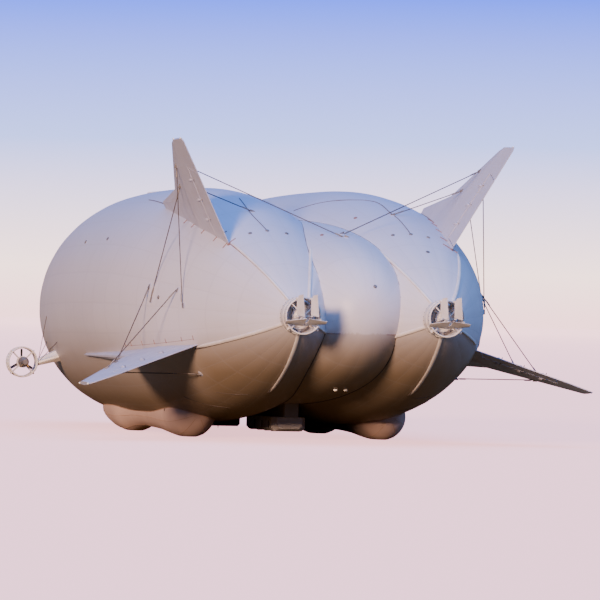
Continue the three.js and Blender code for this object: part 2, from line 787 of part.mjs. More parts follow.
function cabinSolids() {
  const { floor, sill, roof, skin: thick, ceiling, floorInset, roofInset } = cabin;
  const outer = skin([
    planLoop(floorInset, floor),
    planLoop(0, sill),
    planLoop(0, ceiling),
    planLoop(roofInset, roof),
  ]);
  const inner = skin([
    planLoop(floorInset + thick, floor + thick),
    planLoop(thick, sill + 2),
    planLoop(thick, ceiling),
  ]);
  const liner = thick + seat;
  const { overlap } = cabinWindow;
  const glass = glassBand(liner, overlap).subtract(glassBand(liner + glassThick, overlap + 2));
  const windowEnds = [sideWindows[0][0] - 16, sideWindows[sideWindows.length - 1][1] + 16];
  const frontGlass = glass.intersect(box(frontWindow.glassRear, 2300, -300, 300, 0, 400));
  const sideGlass = glass.intersect(box(...windowEnds, 0, 300, 0, 400));
  const { low, high } = cabinWindow;
  const cuts = sideWindows.map(([from, to]) => box(from, to, -300, 300, low, high));
  const { x, halfWidth, mullion } = frontWindow;
  const paneEdge = halfWidth / 3;
  // Columns: from y, to y
  const panes = [
    [-halfWidth, -paneEdge - mullion / 2],
    [-paneEdge + mullion / 2, paneEdge - mullion / 2],
    [paneEdge + mullion / 2, halfWidth],
  ];
  for (const [y0, y1] of panes) cuts.push(box(x, 2300, y0, y1, low, high));
  const door = cabinDoor;
  const gap = door.gap;
  cuts.push(box(door.rear - gap, door.front + gap, -300, 300, door.low, door.high + gap));
  const wallShell = outer.subtract(inner);
  const shell = wallShell.subtract(join(...cuts));
  const side = cabinPlan[cabinPlan.length - 1][1];
  const panel = wallShell.intersect(box(door.rear, door.front, 0, 300, door.low + gap, door.high));
  const barrelX = door.front + gap / 2;
  const barrelY = side + doorKnuckle.out;
  const halfKnuckle = doorKnuckle.length / 2;
  const knuckles = [];
  const frameLugs = [];
  for (const z of [door.low + doorKnuckle.inset, door.high - doorKnuckle.inset]) {
    const ends = [z - halfKnuckle, z + halfKnuckle];
    knuckles.push(rod([barrelX, barrelY, ends[0]], [barrelX, barrelY, ends[1]], doorKnuckle.radius));
    knuckles.push(box(barrelX - doorKnuckle.strap, barrelX, side - 1, barrelY + 2, ...ends));
    for (const end of [-1, 1]) {
      const near = z + end * (halfKnuckle + seat);
      const far = near + end * doorKnuckle.lugLength;
      const [z0, z1] = [Math.min(near, far), Math.max(near, far)];
      frameLugs.push(rod([barrelX, barrelY, z0], [barrelX, barrelY, z1], doorKnuckle.radius));
      frameLugs.push(box(barrelX, barrelX + doorKnuckle.lug, side - 1, barrelY + 2, z0, z1));
    }
  }
  const lugs = join(...frameLugs);
  return {
    body: largest(offHull(join(shell, lugs, mirrored(lugs)))),
    frontGlass: largest(frontGlass),
    sideGlass: largest(sideGlass),
    door: largest(join(panel, ...knuckles)),
  };
}

function beamSolid() {
  const { rear, front, halfWidth, low, step, podLow } = beam;
  const deep = box(step, front, -halfWidth, halfWidth, low, 420);
  const shallow = box(rear, step + 1, -halfWidth, halfWidth, podLow, 420);
  return largest(offHull(join(deep, shallow)));
}

function fuelPodSolid() {
  const { rear, front, halfWidth, low, bevel, endInset, endLength } = fuelPod;
  const top = beam.podLow - seat;
  const loop = (x, inset) => [
    [x, halfWidth - inset, top],
    [x, -halfWidth + inset, top],
    [x, -halfWidth + inset, low + bevel + inset / 2],
    [x, -halfWidth + bevel + inset, low + inset / 2],
    [x, halfWidth - bevel - inset, low + inset / 2],
    [x, halfWidth - inset, low + bevel + inset / 2],
  ];
  const [rearShoulder, frontShoulder] = [rear + endLength, front - endLength];
  return skin([loop(rear, endInset), loop(rearShoulder, 0), loop(frontShoulder, 0), loop(front, endInset)]);
}

function mooringSolid() {
  const { back, plateRadius, plateThick, cone, lip, lipThick, tip } = mooring;
  const z = centreLobe.nose.z;
  const profile = [
    [back, 0],
    [back, plateRadius],
    [back + plateThick, plateRadius],
    [back + plateThick, cone],
    [tip - lipThick, cone * 0.7],
    [tip - lipThick, lip],
    [tip, lip],
    [tip, 0],
  ];
  return largest(offHull(turned(profile, 0, z, 20)));
}

// Assembly

const airship = new THREE.Group();
const portSide = new THREE.Group();
const starboardSide = new THREE.Group();
starboardSide.scale.y = -1;
airship.add(portSide, starboardSide);

function addMesh(group, name, body, material) {
  const mesh = new THREE.Mesh(geometryOf(body), material);
  mesh.name = name;
  group.add(mesh);
}

// The same piece on both sides of the ship.
function addPair(name, body, material) {
  addMesh(portSide, name + "_port", body, material);
  addMesh(starboardSide, name + "_starboard", body, material);
}

addPair("envelope", envelopeSide(), finish.fabric);
addMesh(airship, "envelope_centre", envelopeCentre(), finish.fabric);

const finClear = new Map();
for (const fin of [upperFin, lowerFin]) {
  const { fixed, surface } = finParts(fin);
  addPair("fin_" + fin.name, fixed, finish.fin);
  addPair("control_surface_" + fin.name, surface, finish.fin);
  finClear.set(fin, finWhole(fin, seat));
}

for (const [name, fin, x, reach, [hullX, hullY, hullZ], starboardShift] of stayRows) {
  const port = stay(fin, x, reach, [hullX, hullY, hullZ]);
  const starboard = stay(fin, x, reach, [hullX + starboardShift, hullY, hullZ]);
  addMesh(portSide, name + "_port", port, finish.cable);
  addMesh(starboardSide, name + "_starboard", starboard, finish.cable);
}

addPair("stern_engine", sternEngineSolid(), finish.metal);
addPair("stern_duct", sternDuctSolid(), finish.white);
addPair("stern_propeller", propellerSolid(sternPropeller, stern, true), finish.dark);
addPair("stern_elevator", elevatorSolid(), finish.white);
// Columns: name, side of the duct's axis. All rudders turn the same way, so the mirrored ones are given the other.
const rudderRows = [
  ["stern_rudder_outer", 1],
  ["stern_rudder_inner", -1],
];
for (const [name, side] of rudderRows) {
  addMesh(portSide, name + "_port", rudderSolid(side, rudder.turnDegrees), finish.white);
  addMesh(starboardSide, name + "_starboard", rudderSolid(side, -rudder.turnDegrees), finish.white);
}

addPair("pylon", pylonSolid(), finish.white);
addPair("forward_duct", forwardDuctSolid(), finish.white);
addPair("forward_engine", forwardEngineSolid(), finish.metal);
addPair("forward_propeller", propellerSolid(forwardPropeller, forward, false), finish.dark);

addPair("landing_tube", tubeSolid(), finish.tube);

const cabinParts = cabinSolids();
addMesh(airship, "cabin", cabinParts.body, finish.white);
addMesh(airship, "cabin_glazing_front", cabinParts.frontGlass, finish.glass);
addPair("cabin_glazing_side", cabinParts.sideGlass, finish.glass);
addPair("cabin_door", cabinParts.door, finish.white);
addMesh(airship, "payload_beam", beamSolid(), finish.metal);
addMesh(airship, "fuel_pod", fuelPodSolid(), finish.white);
addMesh(airship, "mooring_nose", mooringSolid(), finish.metal);

export default airship;
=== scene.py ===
import math

import bmesh
import bpy
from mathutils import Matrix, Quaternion, Vector
from mathutils.bvhtree import BVHTree


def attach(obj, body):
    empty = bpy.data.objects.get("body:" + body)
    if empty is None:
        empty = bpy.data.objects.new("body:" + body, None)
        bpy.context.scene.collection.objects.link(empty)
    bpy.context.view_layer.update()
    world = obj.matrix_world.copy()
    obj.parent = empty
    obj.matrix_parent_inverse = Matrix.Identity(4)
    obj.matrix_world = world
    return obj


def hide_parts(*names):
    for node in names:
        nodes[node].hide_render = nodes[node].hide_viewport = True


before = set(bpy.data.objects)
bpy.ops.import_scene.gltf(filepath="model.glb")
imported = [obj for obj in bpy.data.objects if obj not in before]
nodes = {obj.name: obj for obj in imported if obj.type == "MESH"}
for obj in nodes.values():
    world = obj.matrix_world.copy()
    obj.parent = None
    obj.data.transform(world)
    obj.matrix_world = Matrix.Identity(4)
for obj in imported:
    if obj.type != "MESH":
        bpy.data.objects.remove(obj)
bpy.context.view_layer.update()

sides = {"port": 1, "starboard": -1}

# Metres, +X to the nose, +Y to port, +Z up. The ship is a model at one tenth.


# Camera, low behind the port quarter and far away, as the photo was taken
camera = {
    "place": (-50.811, 11.851, 1.055),
    "aim": (-3.0, 0.293, 1.200),
    "rollDegrees": 1.203,
    "lens": 350.4,
    "sensor": 36.0,
}


def newObject(name, data):
    made = bpy.data.objects.new(name, data)
    bpy.context.scene.collection.objects.link(made)
    return made


def makeCamera():
    data = bpy.data.cameras.new("camera")
    data.lens = camera["lens"]
    data.sensor_width = camera["sensor"]
    data.clip_start = 1.0
    data.clip_end = 1000.0
    eye = newObject("camera", data)
    eye.location = camera["place"]
    look = Vector(camera["aim"]) - Vector(camera["place"])
    roll = Quaternion((0, 0, 1), math.radians(camera["rollDegrees"]))
    eye.rotation_mode = "QUATERNION"
    eye.rotation_quaternion = look.to_track_quat("-Z", "Y") @ roll
    bpy.context.scene.camera = eye


makeCamera()
print("camera set")


# Node trees

def place(tree, kind, **values):
    node = tree.nodes.new(kind)
    for name, value in values.items():
        setattr(node, name, value)
    return node


def parts(tree, vector):
    split = tree.nodes.new("ShaderNodeSeparateXYZ")
    tree.links.new(vector, split.inputs[0])
    return split.outputs


def feed(tree, socket, value):
    if isinstance(value, (int, float)):
        socket.default_value = value
    elif isinstance(value, tuple):
        socket.default_value = (*value, 1.0)
    else:
        tree.links.new(value, socket)


def math2(tree, operation, a, b=0.0):
    node = place(tree, "ShaderNodeMath", operation=operation)
    feed(tree, node.inputs[0], a)
    feed(tree, node.inputs[1], b)
    return node.outputs[0]


def ramp(tree, factor, low, high, a=0.0, b=1.0):
    node = place(tree, "ShaderNodeMapRange")
    for name, value in (("From Min", low), ("From Max", high), ("To Min", a), ("To Max", b)):
        node.inputs[name].default_value = value
    tree.links.new(factor, node.inputs["Value"])
    return node.outputs["Result"]


def mixColours(tree, factor, a, b):
    node = place(tree, "ShaderNodeMix", data_type="RGBA")
    for index, value in ((0, factor), (6, a), (7, b)):
        feed(tree, node.inputs[index], value)
    return node.outputs[2]


# A group takes a vector and one value.
def newGroup(name, value, default, results):
    group = bpy.data.node_groups.new(name, "ShaderNodeTree")
    group.interface.new_socket("Vector", in_out="INPUT", socket_type="NodeSocketVector")
    group.interface.new_socket(value, in_out="INPUT", socket_type="NodeSocketFloat").default_value = default
    for result in results:
        group.interface.new_socket(result, in_out="OUTPUT", socket_type="NodeSocketFloat")
    return group, group.nodes.new("NodeGroupInput"), group.nodes.new("NodeGroupOutput")


groupValues = {"finerThreads": 0.4, "detail": 5.0, "roughness": 0.6, "smudgeFrom": 0.35, "smudgeTo": 0.7}


def weaveGroup():
    group, source, result = newGroup("fabric weave", "Threads", 600.0, ["Height"])
    split = parts(group, source.outputs["Vector"])
    waves = []
    for axis in ("X", "Y", "Z"):
        turned = math2(group, "MULTIPLY", split[axis], source.outputs["Threads"])
        waves.append(math2(group, "SINE", turned))
    crossed = math2(group, "MULTIPLY", waves[0], waves[2])
    finer = math2(group, "MULTIPLY", waves[1], groupValues["finerThreads"])
    group.links.new(math2(group, "ADD", crossed, finer), result.inputs["Height"])
    return group


def seamGroup():
    group, source, result = newGroup("panel seams", "Width", 0.03, ["Long seam", "Cross seam", "Panel"])
    split = parts(group, source.outputs["Vector"])
    cells = []
    for axis, name in (("X", "Cross seam"), ("Y", "Long seam")):
        part = math2(group, "FRACT", split[axis])
        fromMiddle = math2(group, "ABSOLUTE", math2(group, "SUBTRACT", part, 0.5))
        fromEdge = math2(group, "SUBTRACT", 0.5, fromMiddle)
        line = math2(group, "LESS_THAN", fromEdge, source.outputs["Width"])
        group.links.new(line, result.inputs[name])
        cells.append(math2(group, "FLOOR", split[axis]))
    joined = group.nodes.new("ShaderNodeCombineXYZ")
    group.links.new(cells[0], joined.inputs[0])
    group.links.new(cells[1], joined.inputs[1])
    noise = place(group, "ShaderNodeTexWhiteNoise", noise_dimensions="3D")
    group.links.new(joined.outputs[0], noise.inputs["Vector"])
    group.links.new(noise.outputs["Value"], result.inputs["Panel"])
    return group


def smudgeGroup():
    group, source, result = newGroup("smudges", "Scale", 2.0, ["Mask"])
    noise = place(group, "ShaderNodeTexNoise")
    noise.inputs["Detail"].default_value = groupValues["detail"]
    noise.inputs["Roughness"].default_value = groupValues["roughness"]
    group.links.new(source.outputs["Vector"], noise.inputs["Vector"])
    group.links.new(source.outputs["Scale"], noise.inputs["Scale"])
    mask = ramp(group, noise.outputs["Fac"], groupValues["smudgeFrom"], groupValues["smudgeTo"])
    group.links.new(mask, result.inputs["Mask"])
    return group


effects = {"weave": weaveGroup(), "seams": seamGroup(), "smudges": smudgeGroup()}


def effect(tree, name, vector, **values):
    node = place(tree, "ShaderNodeGroup", node_tree=effects[name])
    tree.links.new(vector, node.inputs["Vector"])
    for socket, value in values.items():
        node.inputs[socket].default_value = value
    return node.outputs


def newMaterial(name, roughness, metallic=0.0):
    material = bpy.data.materials.new(name)
    material.use_nodes = True
    tree = material.node_tree
    shader = tree.nodes["Principled BSDF"]
    shader.inputs["Roughness"].default_value = roughness
    shader.inputs["Metallic"].default_value = metallic
    coordinates = tree.nodes.new("ShaderNodeTexCoord")
    return material, tree, shader, coordinates.outputs["Object"]


def bump(tree, shader, height, distance, strength):
    node = tree.nodes.new("ShaderNodeBump")
    node.inputs["Distance"].default_value = distance
    node.inputs["Strength"].default_value = strength
    tree.links.new(height, node.inputs["Height"])
    tree.links.new(node.outputs["Normal"], shader.inputs["Normal"])


hullFinish = {
    "fabric": (0.68, 0.65, 0.66),
    "fabricWorn": (0.62, 0.59, 0.60),
    "paintedSkyLight": (0.47, 0.53, 0.72),  # painted sky light: the tops are tinted blue by height, as open sky lights them
    "paintedSkyLightFrom": 1.45,
    "paintedSkyLightTo": 2.15,
    # Painted shade with warm ground light: the underside is mixed towards this darker brown.
    "bellyShade": (0.29, 0.215, 0.125),
    "bellyShadeShare": 0.93,
    "seam": (0.45, 0.43, 0.44),
    "seamWidth": 0.03,
    "seamShare": 0.15,
    "roughness": 0.45,
    "panelShare": 0.35,
    "smudgeShare": 0.5,
    "smudgeScale": 1.6,
    "threads": 900.0,
    "weaveShare": 0.05,
    "reliefHeight": 0.0012,
    "relief": 0.4,
}


def hullMaterial():
    material, tree, shader, where = newMaterial("hull fabric", hullFinish["roughness"])
    panels = place(tree, "ShaderNodeUVMap", uv_map="panels").outputs[0]
    shadeTones = place(tree, "ShaderNodeUVMap", uv_map="bellyShade").outputs[0]
    seams = effect(tree, "seams", panels, Width=hullFinish["seamWidth"])
    smudge = effect(tree, "smudges", where, Scale=hullFinish["smudgeScale"])
    panelTint = math2(tree, "MULTIPLY", seams["Panel"], hullFinish["panelShare"])
    smudgeTint = math2(tree, "MULTIPLY", smudge["Mask"], hullFinish["smudgeShare"])
    tint = math2(tree, "ADD", panelTint, smudgeTint)
    cloth = mixColours(tree, tint, hullFinish["fabric"], hullFinish["fabricWorn"])
    # Painted sky light: the colour turns blue towards the tops.
    paintedSkyLight = ramp(tree, parts(tree, where)["Z"], hullFinish["paintedSkyLightFrom"], hullFinish["paintedSkyLightTo"])
    cloth = mixColours(tree, paintedSkyLight, cloth, hullFinish["paintedSkyLight"])
    # Painted shade with warm ground light: darker and browner on the underside, by the stored shade share.
    low = math2(tree, "MULTIPLY", parts(tree, shadeTones)["X"], hullFinish["bellyShadeShare"])
    cloth = mixColours(tree, low, cloth, hullFinish["bellyShade"])
    either = math2(tree, "MAXIMUM", seams["Long seam"], seams["Cross seam"])
    seamMask = math2(tree, "MULTIPLY", either, hullFinish["seamShare"])
    cloth = mixColours(tree, seamMask, cloth, hullFinish["seam"])
    tree.links.new(cloth, shader.inputs["Base Color"])
    weave = effect(tree, "weave", where, Threads=hullFinish["threads"])
    threads = math2(tree, "MULTIPLY", weave["Height"], hullFinish["weaveShare"])
    height = math2(tree, "ADD", threads, either)
    bump(tree, shader, height, hullFinish["reliefHeight"], hullFinish["relief"])
    return material


paintFinish = {"roughnessSpread": 0.18, "reliefHeight": 0.0003, "relief": 0.15}


def paintMaterial(name, clean, worn, roughness, metallic=0.0, scale=6.0):
    material, tree, shader, where = newMaterial(name, roughness, metallic)
    mask = effect(tree, "smudges", where, Scale=scale)["Mask"]
    tree.links.new(mixColours(tree, mask, clean, worn), shader.inputs["Base Color"])
    rough = ramp(tree, mask, 0, 1, roughness, min(1.0, roughness + paintFinish["roughnessSpread"]))
    tree.links.new(rough, shader.inputs["Roughness"])
    bump(tree, shader, mask, paintFinish["reliefHeight"], paintFinish["relief"])
    return material


# Columns: name, clean colour, worn colour, roughness, metallic, scale of the smudges
paints = {
    # The fin cloth is a darker, bluer copy of the hull cloth: painted sky-lit shade.
    "fin": ("fin fabric", (0.52, 0.53, 0.62), (0.47, 0.47, 0.55), 0.45),
    "strip": ("white strip", (0.80, 0.76, 0.71), (0.66, 0.6, 0.54), 0.5),
    "duct": ("duct shell", (0.80, 0.77, 0.72), (0.62, 0.56, 0.5), 0.4),
    "cable": ("stay cable", (0.045, 0.035, 0.03), (0.09, 0.07, 0.06), 0.5, 0.3, 40.0),
    "metal": ("engine metal", (0.16, 0.15, 0.145), (0.3, 0.27, 0.24), 0.42, 0.6, 20.0),
    "blade": ("propeller blade", (0.03, 0.03, 0.032), (0.07, 0.065, 0.06), 0.35, 0.0, 20.0),
    "tube": ("landing tube fabric", (0.62, 0.45, 0.37), (0.55, 0.40, 0.33), 0.6, 0.0, 3.0),
    "cabin": ("cabin shell", (0.66, 0.65, 0.64), (0.5, 0.48, 0.46), 0.4),
    "beam": ("beam paint", (0.34, 0.33, 0.31), (0.42, 0.39, 0.36), 0.5),
    "paleBlade": ("pale propeller blade", (0.42, 0.40, 0.39), (0.3, 0.28, 0.27), 0.4, 0.0, 20.0),
    "tubeTrim": ("landing tube seam", (0.55, 0.36, 0.24), (0.40, 0.26, 0.18), 0.6, 0.0, 3.0),
    "rope": ("surface line", (0.09, 0.075, 0.07), (0.16, 0.13, 0.12), 0.7, 0.0, 30.0),
    "lace": ("lacing", (0.20, 0.10, 0.075), (0.30, 0.17, 0.13), 0.7, 0.0, 30.0),
    "brass": ("exhaust brass", (0.45, 0.28, 0.10), (0.2, 0.12, 0.06), 0.35, 0.8, 30.0),
    "lamp": ("lamp glass", (0.95, 0.92, 0.78), (0.85, 0.82, 0.7), 0.15),
    "glass": ("cabin glass", (0.02, 0.03, 0.04), (0.03, 0.04, 0.05), 0.08),
}
materials = {key: paintMaterial(*row) for key, row in paints.items()}
materials["hull"] = hullMaterial()
print("materials made")


# Meshes
edges = {"sharp": math.radians(40), "bevelFrom": math.radians(35), "bevelSegments": 2}
ahead = Vector((1, 0, 0))


def makePiece(name, points, faces, material, slot, body="hull", stands=(), smooth=True, even=True):
    mesh = bpy.data.meshes.new(name)
    mesh.from_pydata([tuple(p) for p in points], [], faces)
    if even:
        work = bmesh.new()
        work.from_mesh(mesh)
        bmesh.ops.recalc_face_normals(work, faces=work.faces)
        work.to_mesh(mesh)
        work.free()
    mesh.validate()
    piece = newObject(name, mesh)
    mesh.materials.append(materials[material])
    for polygon in mesh.polygons:
        polygon.use_smooth = smooth
    if even and smooth:
        mesh.set_sharp_from_angle(angle=edges["sharp"])
    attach(piece, body)
    if stands:
        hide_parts(*stands)
    return piece


def band(loops):
    count = len(loops[0])
    faces = []
    for i in range(len(loops) - 1):
        for k in range(count):
            a, b = i * count + k, i * count + (k + 1) % count
            faces.append((a, b, b + count, a + count))
    return [p for loop in loops for p in loop], faces


# A shape gathers closed bodies that become one piece.
def newShape():
    return {"points": [], "faces": []}


def addLoops(shape, loops):
    base, count = len(shape["points"]), len(loops[0])
    points, faces = band(loops)
    last = base + (len(loops) - 1) * count
    shape["points"] += points
    shape["faces"] += [tuple(v + base for v in face) for face in faces]
    shape["faces"].append(tuple(base + k for k in reversed(range(count))))
    shape["faces"].append(tuple(last + k for k in range(count)))


def ringAt(middle, side, up, radius, sides):
    turns = [2 * math.pi * k / sides for k in range(sides)]
    return [middle + side * (radius * math.cos(t)) + up * (radius * math.sin(t)) for t in turns]


def squareTo(direction):
    side = direction.cross(Vector((0, 0, 1)))
    if side.length < 1e-4:
        side = Vector((0, 1, 0))
    side.normalize()
    return side, side.cross(direction).normalized()


# A round bar along a path, with one radius or one for each point.
def addTube(shape, path, radius, sides=8):
    path = [Vector(p) for p in path]
    loops = []
    for i, point in enumerate(path):
        toNext = path[min(i + 1, len(path) - 1)] - path[max(i - 1, 0)]
        side, up = squareTo(toNext.normalized())
        wide = radius[i] if isinstance(radius, (list, tuple)) else radius
        loops.append(ringAt(point, side, up, wide, sides))
    addLoops(shape, loops)


# A body turned about a line. Columns of the profile: distance along the line, radius
def addTurned(shape, at, along, profile, sides=32, closed=False):
    at, along = Vector(at), Vector(along).normalized()
    side, up = squareTo(along)
    loops = []
    for distance, radius in profile + (profile[:1] if closed else []):
        loops.append(ringAt(at + along * distance, side, up, radius, sides))
    if closed:
        base, count = len(shape["points"]), len(profile) * sides
        points, faces = band(loops)
        shape["points"] += points[:count]
        shape["faces"] += [tuple(base + v % count for v in face) for face in faces]
    else:
        addLoops(shape, loops)


# Columns of the profile: distance, share of the radius
def scaled(profile, radius):
    return [(distance, share * radius) for distance, share in profile]


# A box with its middle, three unit directions and three half sizes
def addBlock(shape, middle, directions, halves, taper=1.0):
    a, b, c = (Vector(d).normalized() * h for d, h in zip(directions, halves))
    loops = []
    for end, share in ((-1, 1.0), (1, taper)):
        ring = []
        for u, v in ((-1, -1), (1, -1), (1, 1), (-1, 1)):
            ring.append(Vector(middle) + a * end + b * (u * share) + c * (v * share))
        loops.append(ring)
    addLoops(shape, loops)


def shapePiece(name, shape, material, **options):
    return makePiece(name, shape["points"], shape["faces"], material, **options)


def soften(piece, width):
    cut = piece.modifiers.new("edges", "BEVEL")
    cut.width = width
    cut.segments = edges["bevelSegments"]
    cut.limit_method = "ANGLE"
    cut.angle_limit = edges["bevelFrom"]
    return piece


# Hull: three lobes. Each end follows radius * (1 - u ** power) ** (1 / root).
# A lobe's width is wide times its height. Each end reaches its own wide at the share 1 / widen of the way.
# Columns of an end: place, power, root, drift, wide, widen
lobes = {
    "side": {
        "radius": 1.031,
        "full": ((-0.488, 0.613, 1.146), 0.993),
        "tail": ((-4.325, 0.606, 1.060), 2.037, 1.511, 3.478, 1.0, 1),
        "nose": ((4.600, 0.405, 1.040), 3.644, 1.973, 2.0, 0.942, 2),
        "cut": -4.260,
        "crease": 0.085,
        "gores": 24,
    },
    "centre": {
        "radius": 0.809,
        "full": ((-0.200, 0.0, 1.096), 1.0),
        "tail": ((-4.151, 0.0, 1.112), 3.087, 2.334, 2.0, 1.0, 1),
        "nose": ((4.470, 0.0, 1.040), 2.98, 2.1, 2.0, 1.0, 1),
        "cut": -4.151,
        "crease": 0.0,
        "gores": 20,
    },
}
lobeForm = {"rise": 2.0, "widenPower": 2, "creasePower": 3, "evenSpan": 72}
# The angles of the strips that tie each outer tail to its engine, in degrees from port towards the top
stripAngles = [-155, -94, -28, 59, 129]
hullMesh = {
    "around": 192,
    "tailRings": 90,
    "noseRings": 60,
    "crowding": 0.8,
    "bulge": 0.0016,
    "bulgeFrom": 0.4,  # radius from which the cloth bulges in full between two seams
    "panelLength": 0.42,
    "hidden": 0.03,  # depth in a neighbour at which the cloth is left out
}


def lobeSection(lobe, x):
    full, fullWide = lobe["full"]
    end, power, root, drift, endWide, widen = lobe["tail"] if x < full[0] else lobe["nose"]
    u = min(1.0, abs(x - full[0]) / abs(end[0] - full[0]))
    radius = lobe["radius"] * max(0.0, 1 - u ** power) ** (1 / root)
    y = full[1] + (end[1] - full[1]) * u ** drift
    z = full[2] + (end[2] - full[2]) * u ** min(drift, lobeForm["rise"])
    wide = fullWide + (endWide - fullWide) * min(1.0, u * widen) ** lobeForm["widenPower"]
    crease = lobe["crease"] * u ** lobeForm["creasePower"] if x < full[0] else 0.0
    return radius, y, z, wide, crease


def creaseShare(angle):
    degrees = math.degrees(angle)
    for i, start in enumerate(stripAngles):
        end = stripAngles[i + 1] if i + 1 < len(stripAngles) else stripAngles[0] + 360
        into = (degrees - start) % 360
        if into <= end - start:
            return math.sin(math.pi * into / (end - start)) * ((end - start) / lobeForm["evenSpan"]) ** 2
    return 0.0


def lobePoint(lobe, x, angle, side=1, proud=0.0):
    radius, y, z, wide, crease = lobeSection(lobe, x)
    reach = radius * (1 - crease * creaseShare(angle)) + proud
    return Vector((x, side * y + wide * reach * math.cos(angle), z + reach * math.sin(angle)))


def lobeDepth(lobe, point, side=1):
    radius, y, z, wide, crease = lobeSection(lobe, point.x)
    across, up = (point.y - side * y) / wide, point.z - z
    angle = math.atan2(up, across)
    return radius * (1 - crease * creaseShare(angle)) - math.hypot(across, up)
def lobeMiddle(lobe, x, side):
    radius, y, z, wide, crease = lobeSection(lobe, x)
    return Vector((x, side * y, z))


# Painted shade with warm ground light: the lower cloth is coloured darker and browner. The change is sharp
# behind the lower fins and soft ahead of them.
bellyShadeZone = {
    "height": 0.93, "drop": 0.62, "fade": 0.8, "step": 0.36,
    "tailStart": -2.6, "tailLength": 0.5, "from": -28, "to": -155,
}


# Share of the painted underside shade at a point.
def bellyShadeAt(lobe, point, side):
    middle = lobeMiddle(lobe, point.x, side)
    below = min(1.0, max(0.0, (bellyShadeZone["height"] - point.z) / bellyShadeZone["drop"]))
    tail = min(1.0, max(0.0, (bellyShadeZone["tailStart"] - point.x) / bellyShadeZone["tailLength"]))
    under = point.z < bellyShadeZone["height"]
    if lobe is lobes["side"]:
        degrees = math.degrees(math.atan2(point.z - middle.z, point.y - middle.y))
        under = bellyShadeZone["to"] < degrees < bellyShadeZone["from"]
    step = bellyShadeZone["step"] if under else 0.0
    return min(1.0, below ** bellyShadeZone["fade"] + tail * step)


def makeLobe(name, lobe, side, node, neighbours):
    around = hullMesh["around"]
    tail, full, nose = (lobe[part][0][0] for part in ("tail", "full", "nose"))
    uCut = (full - lobe["cut"]) / (full - tail)
    stations = []
    for i in range(hullMesh["tailRings"]):
        u = uCut * math.cos(i / hullMesh["tailRings"] * math.pi / 2) ** hullMesh["crowding"]
        stations.append(full - u * (full - tail))
    for i in range(hullMesh["noseRings"] + 1):
        stations.append(full + (nose - full) * math.sin(i / hullMesh["noseRings"] * math.pi / 2))
    loops = []
    for x in stations:
        fade = min(1.0, lobeSection(lobe, x)[0] / hullMesh["bulgeFrom"])
        ring = []
        for k in range(around):
            angle = 2 * math.pi * k / around
            swell = hullMesh["bulge"] * abs(math.sin(angle * lobe["gores"] / 2)) * fade
            ring.append(lobePoint(lobe, x, angle, side, swell))
        loops.append(ring)
    points, faces = band(loops)
    faces = [tuple(reversed(f)) for f in faces]
    hiddenPoint = [any(lobeDepth(l, p, s) > hullMesh["hidden"] for l, s in neighbours) for p in points]
    faces = [f for f in faces if not all(hiddenPoint[v] for v in f)]
    piece = makePiece(name, points, faces, "hull", slot="hull_fabric", stands=[node], even=False)
    uv = piece.data.uv_layers.new(name="panels")
    # The second map stores the painted underside shade of each point.
    tone = piece.data.uv_layers.new(name="bellyShade")
    shadeTones = [bellyShadeAt(lobe, p, side) for p in points]
    for polygon in piece.data.polygons:
        corners = [(corner, piece.data.loops[corner].vertex_index) for corner in polygon.loop_indices]
        wraps = any(vertex % around > around / 2 for corner, vertex in corners)
        for corner, vertex in corners:
            i, k = divmod(vertex, around)
            if k == 0 and wraps:
                k = around
            uv.data[corner].uv = (stations[i] / hullMesh["panelLength"], k * lobe["gores"] / around)
            tone.data[corner].uv = (shadeTones[vertex], 0.0)


portLobe, starboardLobe, centreLobe = (lobes["side"], 1), (lobes["side"], -1), (lobes["centre"], 1)
makeLobe("hull_port", *portLobe, "envelope_port", [centreLobe, starboardLobe])
makeLobe("hull_starboard", *starboardLobe, "envelope_starboard", [centreLobe, portLobe])
makeLobe("hull_centre", *centreLobe, "envelope_centre", [portLobe, starboardLobe])
print("hull made")


# Strips from each stern engine's plate over the tail
strip = {
    "width": 0.030,
    "thick": 0.012,
    "steps": 40,
    "start": -4.255,
    "valley": 129,  # this one follows the valley on the port side
    "taper": 6,
    "taperEnd": 1.02,
    # Columns: angle in degrees, x where it ends, share of the width
    "rows": [(129, -3.15, 1.0), (59, -3.2, 0.8), (-28, -3.1, 1.0), (-94, -3.08, 1.0), (-155, -3.4, 0.7)],
    # Columns: share of the half width, share of the thickness
    "profile": [(-1.0, -0.4), (-0.9, 0.6), (-0.5, 1.0), (0.5, 1.0), (0.9, 0.6), (1.0, -0.4)],
}
# Small steps along x and around, to find directions on the cloth
nearby = {"x": 0.01, "angle": 0.02, "degrees": 1}


def makeStrips(sideName, side):
    shape = newShape()
    lobe = lobes["side"]
    for degrees, endX, share in strip["rows"]:
        if side > 0 and degrees == strip["valley"]:
            continue
        angle = math.radians(degrees)
        loops = []
        for i in range(strip["steps"] + 1):
            t = i / strip["steps"]
            x = strip["start"] + (endX - strip["start"]) * t
            here = lobePoint(lobe, x, angle, side)
            along = (lobePoint(lobe, x + nearby["x"], angle, side) - here).normalized()
            before, after = (lobePoint(lobe, x, angle + turn * nearby["angle"], side) for turn in (-1, 1))
            across = (after - before).normalized()
            out = along.cross(across).normalized()
            if out.dot(here - lobeMiddle(lobe, x, side)) < 0:
                out = -out
            narrow = min(1.0, strip["taper"] * (strip["taperEnd"] - t))
            half = strip["width"] * share / 2 * narrow
            thick = strip["thick"] * narrow
            loops.append([here + across * (a * half) + out * (b * thick) for a, b in strip["profile"]])
        addLoops(shape, loops)
    shapePiece("tail_strips_" + sideName, shape, "strip", slot="duct_shell")


for sideName, side in sides.items():
    makeStrips(sideName, side)
print("strips made")


